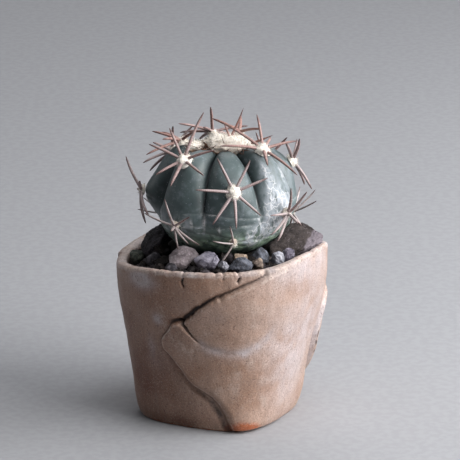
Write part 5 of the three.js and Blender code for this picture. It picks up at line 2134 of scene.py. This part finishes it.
@dataclass
class CrownWool:
    """The wool in the middle of the crown, with dried bits and young spines in it."""

    tufts: tuple[Tuft, ...] = (
        Tuft((3.5, -3.5, 130.2), (9.8, 7.5, 4.6), 620), Tuft((-2, -1, 131.2), (5.4, 5, 4.4), 260),
        Tuft((10.2, -3.2, 129.6), (5.6, 5.4, 3.9), 240), Tuft((-13.2, -2.0, 128.9), (5.2, 4.2, 3.7), 200),
        Tuft((3, 6.5, 129.2), (10.5, 6.2, 3.8), 420), Tuft((-6, 2.5, 128.4), (8, 7, 2.8), 300),
    )
    young: tuple[tuple[tuple[float, float, float], tuple[float, float, float]], ...] = (
        ((4.5, -1.0, 131.4), (0.6, -2.0, 142.4)), ((12.0, -4.0, 131.4), (24.0, -8.5, 137.4)),
        ((3.3, 2.5, 131.4), (10.2, 4.0, 147.4)),
    )
    dried: tuple[tuple[float, float, int], ...] = (
        (-9.5, -3, 26), (-5, -7, 20), (4, -9.8, 22), (-9, 3, 12), (9, -8, 8), (8, 3, 8), (1, 9, 8),
    )
    seed: int = 5150

    def build(self, wool: bpy.types.Material, dried: bpy.types.Material, horn: bpy.types.Material) -> None:
        """Makes the wool, its dried bits and its spines.

        Args:
            wool: finish of the wool.
            dried: finish of the dried bits.
            horn: finish of the spines.
        """
        hair = Hair()
        draw = Drawer(self.seed)
        lumps, roots, leaning = [], [], []
        for number, tuft in enumerate(self.tufts):
            obj = new_ball(5)
            ball = get_points(obj)
            bumpy = 1 + 0.16 * rough(ball, 0.5, number + 70) + 0.05 * rough(ball, 0.2, number + 90)
            points = ball * bumpy[:, None] * np.array(tuft.half) + np.array(tuft.at)
            set_points(obj, to_metres(points))
            lumps.append(obj)
            upper = np.flatnonzero(ball[:, 2] > -0.25)
            picks = upper[[int(draw() * len(upper)) for _ in range(tuft.hairs)]]
            roots.append(points[picks])
            leaning.append(unit(ball[picks] + np.array([0, 0, 0.25])))
        deselect()
        for obj in lumps:
            obj.select_set(True)
        bpy.context.view_layer.objects.active = lumps[0]
        bpy.ops.object.join()
        body = bpy.context.object
        body.name = body.data.name = "crown_wool_tufts"
        mark(body, "dry", self.dryness(to_millimetres(get_points(body))))
        grown = hair.grow(np.vstack(roots), np.vstack(leaning), draw, (1.0, 2.4), 0.1)
        fibres = copies(hair.shape, "crown_wool_hairs", to_metres(grown), {"dry": self.dryness(grown)})
        bits = self.dried_bits(hair, draw)
        for piece, finish in ((body, wool), (fibres, wool), (bits, dried)):
            smooth(piece)
            hand_over(piece, finish, Slot.WOOL, "crown_wool")
        self.spines(horn)
        remove(hair.shape)

    def dryness(self, points: np.ndarray) -> np.ndarray:
        """How brown and dry the wool is: more along the front edge and on the left.

        Args:
            points: places in millimetres.

        Returns:
            Shares from 0 to 1.
        """
        low = ease(130.6, 128.8, points[..., 2])
        front = ease(-5.5, -9.5, points[..., 1]) * ease(-12, -2, points[..., 0]) * (0.3 + 0.4 * low)
        left = ease(-4, -7, points[..., 0]) * low
        return np.clip(np.maximum(front, left) * (0.6 + rough(points, 2.0, 3.0)), 0, 1)

    def dried_bits(self, hair: Hair, draw: Drawer) -> bpy.types.Object:
        """Lays withered strips among the wool.

        Args:
            hair: the fibre that is repeated.
            draw: random numbers.

        Returns:
            The strips.
        """
        roots, leaning = [], []
        for x, y, count in self.dried:
            for _ in range(count):
                spread = np.array([draw() - 0.5, draw() - 0.5, 0.0]) * (9, 4, 0)
                roots.append(np.array([x, y, 129.2 + 2.0 * draw()]) + spread)
                leaning.append(np.array([draw() - 0.5, draw() - 0.5, 0.12 * draw()]) * 2)
        strips = hair.grow(np.array(roots), unit(np.array(leaning)), draw, (2.5, 6.5), 0.42)
        dry = {"dry": np.ones(strips.shape[:2])}
        return copies(hair.shape, "crown_wool_dried", to_metres(strips), dry)

    def spines(self, horn: bpy.types.Material) -> None:
        """Makes the young spines that stand in the wool.

        Args:
            horn: finish of the spines.
        """
        needle, ring, turn = sleeve("needle", 8, 12)
        close_ends(needle, ring, bridge=False)
        share = ring / ring.max()
        angle = turn / 8 * 2 * math.pi
        placed = []
        for start, end in self.young:
            root, tip = np.array(start), np.array(end)
            ahead = unit(tip - root)
            side = unit(np.cross(np.array([0.3, 0.2, 1.0]), ahead))
            up = np.cross(ahead, side)
            centre = root + (tip - root) * share[:, None] + side * (np.sin(share * 3.1) * 0.5)[:, None]
            width = (0.8 * (1 - share) ** 0.65 + 0.03)[:, None]
            placed.append(centre + around(side, up, angle) * width)
        rows = {
            # The flank row is painted shade on the underside.
            "along": share, "flank": ease(0.2, -0.8, np.sin(angle)),
            "fresh": np.ones_like(share), "old": np.zeros_like(share),
        }
        values = {name: np.tile(row, (len(placed), 1)) for name, row in rows.items()}
        obj = copies(needle, "crown_wool_spines", to_metres(np.array(placed)), values)
        smooth(obj)
        hand_over(obj, horn, Slot.SPINES, "crown_wool")
        remove(needle)


@dataclass
class TopDressing:
    """Crushed stone round the foot of the plant, and the soil below it."""

    pot: PotForm
    ground: Ground
    tints: dict[str, str] = field(default_factory=lambda: {
        "stone_01": "rock", "stone_02": "pink", "stone_03": "purple", "stone_04": "ash",
        "stone_05": "slate", "stone_06": "slate", "stone_07": "ash", "stone_08": "dusk",
        "stone_09": "earth", "stone_10": "dark", "stone_11": "moss", "stone_12": "dark",
        "stone_13": "dark", "stone_14": "purple", "stone_15": "pink", "stone_16": "slate",
        "stone_17": "purple", "stone_18": "rock", "stone_19": "tan",
    })
    rocks: tuple[str, ...] = ("stone_01", "stone_13")
    chips: int = 330
    chip_size: tuple[float, float] = (1.2, 3.4)
    chip_ring: tuple[float, float] = (25.5, 44.0)
    chip_shapes: int = 7
    chip_breaks: int = 9
    wall_radius: float = 46.0
    seed: int = 60013
    chip_seeds: tuple[int, int] = (8100, 37)
    stone_seeds: tuple[int, int] = (4000, 61)

    def build(self, frame: dict, finishes: dict[str, bpy.types.Material]) -> None:
        """Makes the single stones, the bed and the chips, and dresses the soil.

        Args:
            frame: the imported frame.
            finishes: the stone materials by name.
        """
        for node, tint in self.tints.items():
            self.single_stone(frame["nodes"][node], node, finishes[tint])
        self.bed(frame["nodes"]["gravel_bed"], finishes["bed"])
        self.scatter(finishes["chips"])
        soil = frame["nodes"]["potting_soil"]
        soil.data.materials.clear()
        soil.data.materials.append(finishes["soil"])
        LOG.info("potting_soil keeps its solid and gets its finish")

    def merged_copy(self, node: bpy.types.Object, name: str) -> bpy.types.Object:
        """Copies a solid's mesh and joins its loose triangles.

        Args:
            node: the solid.
            name: the copy's name.

        Returns:
            The copy.
        """
        obj = bpy.data.objects.new(name, node.data.copy())
        bpy.context.scene.collection.objects.link(obj)
        edit(obj)
        bpy.ops.mesh.remove_doubles(threshold=0.00001)
        bpy.ops.mesh.dissolve_limited(angle_limit=math.radians(1.5))
        leave_edit()
        return obj

    def divide(self, obj: bpy.types.Object, levels: int) -> None:
        """Cuts all faces into small triangles without rounding the shape."""
        finish_modifier(obj, "TRIANGULATE")
        finish_modifier(obj, "SUBSURF", subdivision_type="SIMPLE", levels=levels, render_levels=levels)

    def single_stone(self, node: bpy.types.Object, name: str, material: bpy.types.Material) -> None:
        """Breaks and roughens one stone.

        Args:
            node: its solid.
            name: the solid's name.
            material: its finish.
        """
        obj = self.merged_copy(node, name + "_rough")
        large = name in self.rocks
        width, levels = (0.0006, 4) if large else (0.0004, 3)
        finish_modifier(obj, "BEVEL", width=width, segments=2, limit_method="ANGLE", angle_limit=0.35)
        self.divide(obj, levels)
        edit(obj)
        bpy.ops.mesh.remove_doubles(threshold=0.00001)
        bpy.ops.mesh.normals_make_consistent(inside=False)
        leave_edit()
        normals = np.empty(len(obj.data.vertices) * 3)
        obj.data.vertices.foreach_get("normal", normals)
        points = get_points(obj) / MM
        seed = float(name[-2:])
        points = self.chisel(points, int(seed), large)
        pitted = 1 - 2 * np.abs(rough(points, 1.5, seed + 5))
        push = rough(points, 3.2, seed) * 0.35 + pitted * 0.22 + rough(points, 0.9, seed + 1) * 0.26
        push = push * (1.0 if large else 0.8) + 0.25
        set_points(obj, (points + normals.reshape(-1, 3) * push[:, None]) * MM)
        if name == "stone_01":
            spread = points[:, 0] - 37.5 - 0.85 * (points[:, 2] - 84.3) + rough(points, 2.5, 2.0) * 0.8
            mark(obj, "lit", ease(-0.4, 0.6, spread) * ease(-6, -8, points[:, 1]))
        elif not large:
            facing = unit(points - points.mean(axis=0))
            patchy = ease(0.0, 0.4, rough(facing * 2.4, 1.6, seed + 9))
            mark(obj, "lit", patchy * ease(-0.2, 0.3, facing[:, 2]))
        smooth(obj, 24)
        hand_over(obj, material, Slot.STONE, name)

    def chisel(self, points: np.ndarray, seed: int, large: bool) -> np.ndarray:
        """Cuts flat facets into a stone.

        Args:
            points: its vertices in millimetres.
            seed: picks the facets.
            large: whether it is a rock, whose own corners are kept.

        Returns:
            The moved vertices.
        """
        first, step = self.stone_seeds
        draw = Drawer(first + step * seed)
        grown, strokes, depths = (1.02, 10, (0.9, 0.97)) if large else (1.2, 15, (0.68, 0.92))
        middle = points.mean(axis=0)
        away = (points - middle) * grown
        for _ in range(strokes):
            facing = unit(np.array([draw() - 0.5, draw() - 0.5, draw() - 0.4]))
            reach = away @ facing
            limit = reach.max() * draw.between(*depths)
            away = away - np.outer(np.maximum(reach - limit, 0), facing)
        return middle + away

    def bed(self, node: bpy.types.Object, material: bpy.types.Material) -> None:
        """Makes the bed of fine gravel that the stones lie in.

        Args:
            node: its solid.
            material: its finish.
        """
        obj = self.merged_copy(node, "gravel_bed_fine")
        self.divide(obj, 1)
        points = get_points(obj) / MM
        points[:, 2] += rough(points, 2.4, 3.0) * 0.5 + rough(points, 1.0, 5.0) * 0.25 - 0.55
        set_points(obj, points * MM)
        smooth(obj, 30)
        hand_over(obj, material, Slot.GRAVEL, "gravel_bed")

    def chip_shape(self, number: int) -> bpy.types.Object:
        """Breaks a ball into a small sharp stone.

        Args:
            number: picks the breaks.

        Returns:
            The stone, about one unit in radius.
        """
        first, step = self.chip_seeds
        draw = Drawer(first + step * number)
        obj = new_ball(2)
        edit(obj)
        for _ in range(self.chip_breaks):
            normal = Vector((draw() - 0.5, draw() - 0.5, draw() - 0.5)).normalized()
            point = normal * draw.between(0.55, 0.82)
            bpy.ops.mesh.select_all(action="SELECT")
            bpy.ops.mesh.bisect(plane_co=point, plane_no=normal, use_fill=True, clear_outer=True)
        bpy.ops.mesh.select_all(action="SELECT")
        bpy.ops.mesh.dissolve_limited(angle_limit=math.radians(16))
        bpy.ops.mesh.bevel(offset=0.07, segments=1)
        bpy.ops.mesh.quads_convert_to_tris()
        bpy.ops.mesh.normals_make_consistent(inside=False)
        leave_edit()
        return obj

    def scatter(self, material: bpy.types.Material) -> None:
        """Lays small stones over the bed.

        Args:
            material: their finish.
        """
        draw = Drawer(self.seed)
        shapes = [self.chip_shape(number) for number in range(self.chip_shapes)]
        corners = [get_points(shape) for shape in shapes]
        placed: list[list[np.ndarray]] = [[] for _ in shapes]
        tones: list[list[float]] = [[] for _ in shapes]
        for k in range(self.chips):
            share = math.sqrt((k + 0.5) / self.chips)
            radius = self.chip_ring[0] + (self.chip_ring[1] - self.chip_ring[0]) * share
            bearing = k * GOLDEN_ANGLE + 14 * draw()
            size = min(draw.between(*self.chip_size), self.wall_radius - radius)
            kind = k % len(shapes)
            stretch = np.array([draw.between(0.85, 1.35), draw.between(0.8, 1.1), draw.between(0.65, 0.95)])
            turn = math.radians(360 * draw())
            tip = math.radians(60 * (draw() - 0.5))
            c, s, d, t = math.cos(turn), math.sin(turn), math.cos(tip), math.sin(tip)
            spin = np.array([[c, -s, 0], [s, c, 0], [0, 0, 1]])
            roll = np.array([[1, 0, 0], [0, d, -t], [0, t, d]])
            height = self.ground.height(np.array(bearing), np.array(radius)) - 1.5 + 1.1 * draw()
            middle = self.pot.point(np.array(bearing), np.array(radius), height)
            placed[kind].append(corners[kind] * stretch * size @ (spin @ roll).T + middle)
            tones[kind].append(draw())
        for kind, shape in enumerate(shapes):
            rows = to_metres(np.array(placed[kind]))
            values = {"tone": np.repeat(np.array(tones[kind])[:, None], rows.shape[1], axis=1)}
            obj = copies(shape, f"gravel_chips_{kind + 1}", rows, values)
            smooth(obj, 30)
            hand_over(obj, material, Slot.GRAVEL, "gravel_bed")
        remove(*shapes)


@dataclass(frozen=True)
class Lamp:
    """A round soft light: degrees to the right of the camera and above the floor, metres and watts."""

    name: str
    azimuth: float
    elevation: float
    distance: float
    size: float
    power: float
    colour: Colour


@dataclass
class Studio:
    """Camera, floor and soft lights."""

    target: tuple[float, float, float] = (0.0037, 0.0008, 0.0884)
    distance: float = 2.0
    elevation: float = 16.5
    focal_pixels: float = 4210.5
    frame_pixels: float = 460.0
    floor_colour: Colour = srgb(157, 158, 162)
    floor_grain: Colour = srgb(152, 153, 157)
    lamps: tuple[Lamp, ...] = (
        Lamp("key", 66, 28, 1.0, 0.95, 17.5, (1.0, 0.99, 0.98)),
        Lamp("side", 112, 26, 1.0, 0.8, 7.0, (0.97, 0.98, 1.0)),
        Lamp("top", 25, 76, 1.1, 0.6, 3.0, (0.97, 0.98, 1.0)),
        Lamp("backdrop", 178, 42, 2.0, 1.6, 12.0, (0.98, 0.98, 1.0)),
        Lamp("edge", -112, 22, 1.1, 0.6, 1.1, (0.97, 0.98, 1.0)),
    )
    lamp_target: tuple[float, float, float] = (0.0, 0.0, 0.08)
    room_colour: Colour = (0.86, 0.86, 0.88)
    room_strength: float = 0.062

    def camera(self) -> None:
        """Places the camera at the picture's viewing angle."""
        angle = math.radians(self.elevation)
        data = bpy.data.cameras.new("camera")
        data.sensor_width = 36.0
        data.lens = self.focal_pixels / self.frame_pixels * data.sensor_width
        data.clip_end = 20.0
        camera = bpy.data.objects.new("camera", data)
        bpy.context.scene.collection.objects.link(camera)
        x, y, z = self.target
        camera.location = (x, y - self.distance * math.cos(angle), z + self.distance * math.sin(angle))
        camera.rotation_euler = (math.pi / 2 - angle, 0.0, 0.0)
        bpy.context.scene.camera = camera

    def stand(self) -> None:
        """Makes the floor."""
        deselect()
        bpy.ops.mesh.primitive_plane_add(size=6.0, location=(0, 0, 0))
        floor = bpy.context.object
        floor.name = "studio_floor"
        material, g, shader = start_material("floor_paper")
        place = g.place()
        colour = g.mix(self.floor_colour, self.floor_grain, g.fit(g.noise(place, 4.0, 1.0), 0.4, 0.6))
        g.feed(shader.inputs["Base Color"], colour)
        shader.inputs["Roughness"].default_value = 0.85
        floor.data.materials.append(material)

    def light(self, lamp: Lamp) -> None:
        """Adds a soft light that faces the plant.

        Args:
            lamp: the light.
        """
        data = bpy.data.lights.new(lamp.name, "AREA")
        data.shape = "DISK"
        data.size = lamp.size
        data.energy = lamp.power
        data.color = lamp.colour
        obj = bpy.data.objects.new(lamp.name, data)
        bpy.context.scene.collection.objects.link(obj)
        a, e = math.radians(lamp.azimuth), math.radians(lamp.elevation)
        away = Vector((math.sin(a) * math.cos(e), -math.cos(a) * math.cos(e), math.sin(e))) * lamp.distance
        obj.location = Vector(self.lamp_target) + away
        obj.rotation_euler = (-away).to_track_quat("-Z", "Y").to_euler()

    def surroundings(self) -> None:
        """Sets the soft light of the room."""
        world = bpy.data.worlds.new("soft_room")
        bpy.context.scene.world = world
        world.use_nodes = True
        background = world.node_tree.nodes["Background"]
        background.inputs["Color"].default_value = (*self.room_colour, 1.0)
        background.inputs["Strength"].default_value = self.room_strength
        bpy.context.scene.view_settings.view_transform = "Standard"

    def build(self) -> None:
        """Builds the whole studio."""
        self.stand()
        for lamp in self.lamps:
            self.light(lamp)
        self.surroundings()
        LOG.info("studio: floor and %d soft lights", len(self.lamps))


def stone_finishes(effects: Effects) -> dict[str, bpy.types.Material]:
    """Makes the finishes of the dressing.

    Args:
        effects: the shared effects.

    Returns:
        Materials by name.
    """
    stones = (
        BrokenStone(
            "rock", srgb(46, 40, 39), srgb(76, 68, 66), srgb(150, 141, 150), size=1.6, dusty=0.07, glint=0.3
        ),
        BrokenStone("pink", srgb(118, 108, 112), srgb(160, 149, 153), srgb(198, 188, 192), size=1.4),
        BrokenStone("purple", srgb(98, 94, 108), srgb(164, 160, 176), srgb(212, 208, 222)),
        BrokenStone("slate", srgb(50, 52, 58), srgb(90, 93, 103), srgb(146, 150, 162)),
        BrokenStone("ash", srgb(100, 102, 110), srgb(152, 152, 162), srgb(206, 206, 214)),
        BrokenStone("earth", srgb(70, 60, 56), srgb(112, 98, 90), srgb(172, 154, 138)),
        BrokenStone("dusk", srgb(66, 62, 74), srgb(104, 98, 112), srgb(150, 144, 158)),
        BrokenStone("moss", srgb(38, 42, 38), srgb(70, 76, 70), srgb(118, 122, 112)),
        BrokenStone("tan", srgb(108, 92, 80), srgb(150, 130, 114), srgb(190, 172, 154)),
        BrokenStone("dark", srgb(34, 32, 35), srgb(64, 61, 67), srgb(112, 108, 116)),
        BrokenStone("bed", srgb(22, 18, 17), srgb(42, 36, 34), srgb(78, 70, 68), size=0.8),
        BrokenStone("chips", srgb(30, 27, 28), srgb(66, 60, 64), srgb(116, 108, 114), toned=True),
        BrokenStone("soil", srgb(20, 15, 12), srgb(40, 30, 24), srgb(74, 60, 48), size=0.9),
    )
    return {stone.name: stone.build(effects) for stone in stones}


def main() -> None:
    """Builds the plant, its pot and the studio in order."""
    logging.basicConfig(level=logging.INFO, format="%(message)s")
    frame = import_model()
    studio = Studio()
    studio.camera()
    effects = Effects()
    horn = HornySpine().build(effects)
    felt = Felt().build(effects)
    wool = Felt("crown_wool", brown=srgb(176, 136, 104), brown_share=0.08).build(effects)
    dried = Felt(
        "dried_bits", srgb(160, 108, 74), srgb(208, 164, 128), brown=srgb(80, 48, 34), brown_share=0.6
    ).build(effects)
    form = StemForm()
    ground = Ground()
    Pot().build(Stoneware().build(effects))
    Stem(form).build(StemSkin().build(effects))
    TopDressing(PotForm(), ground).build(frame, stone_finishes(effects))
    Areoles(form, ground).build(horn, felt)
    CrownWool().build(wool, dried, horn)
    studio.build()


if __name__ == "__main__":
    main()
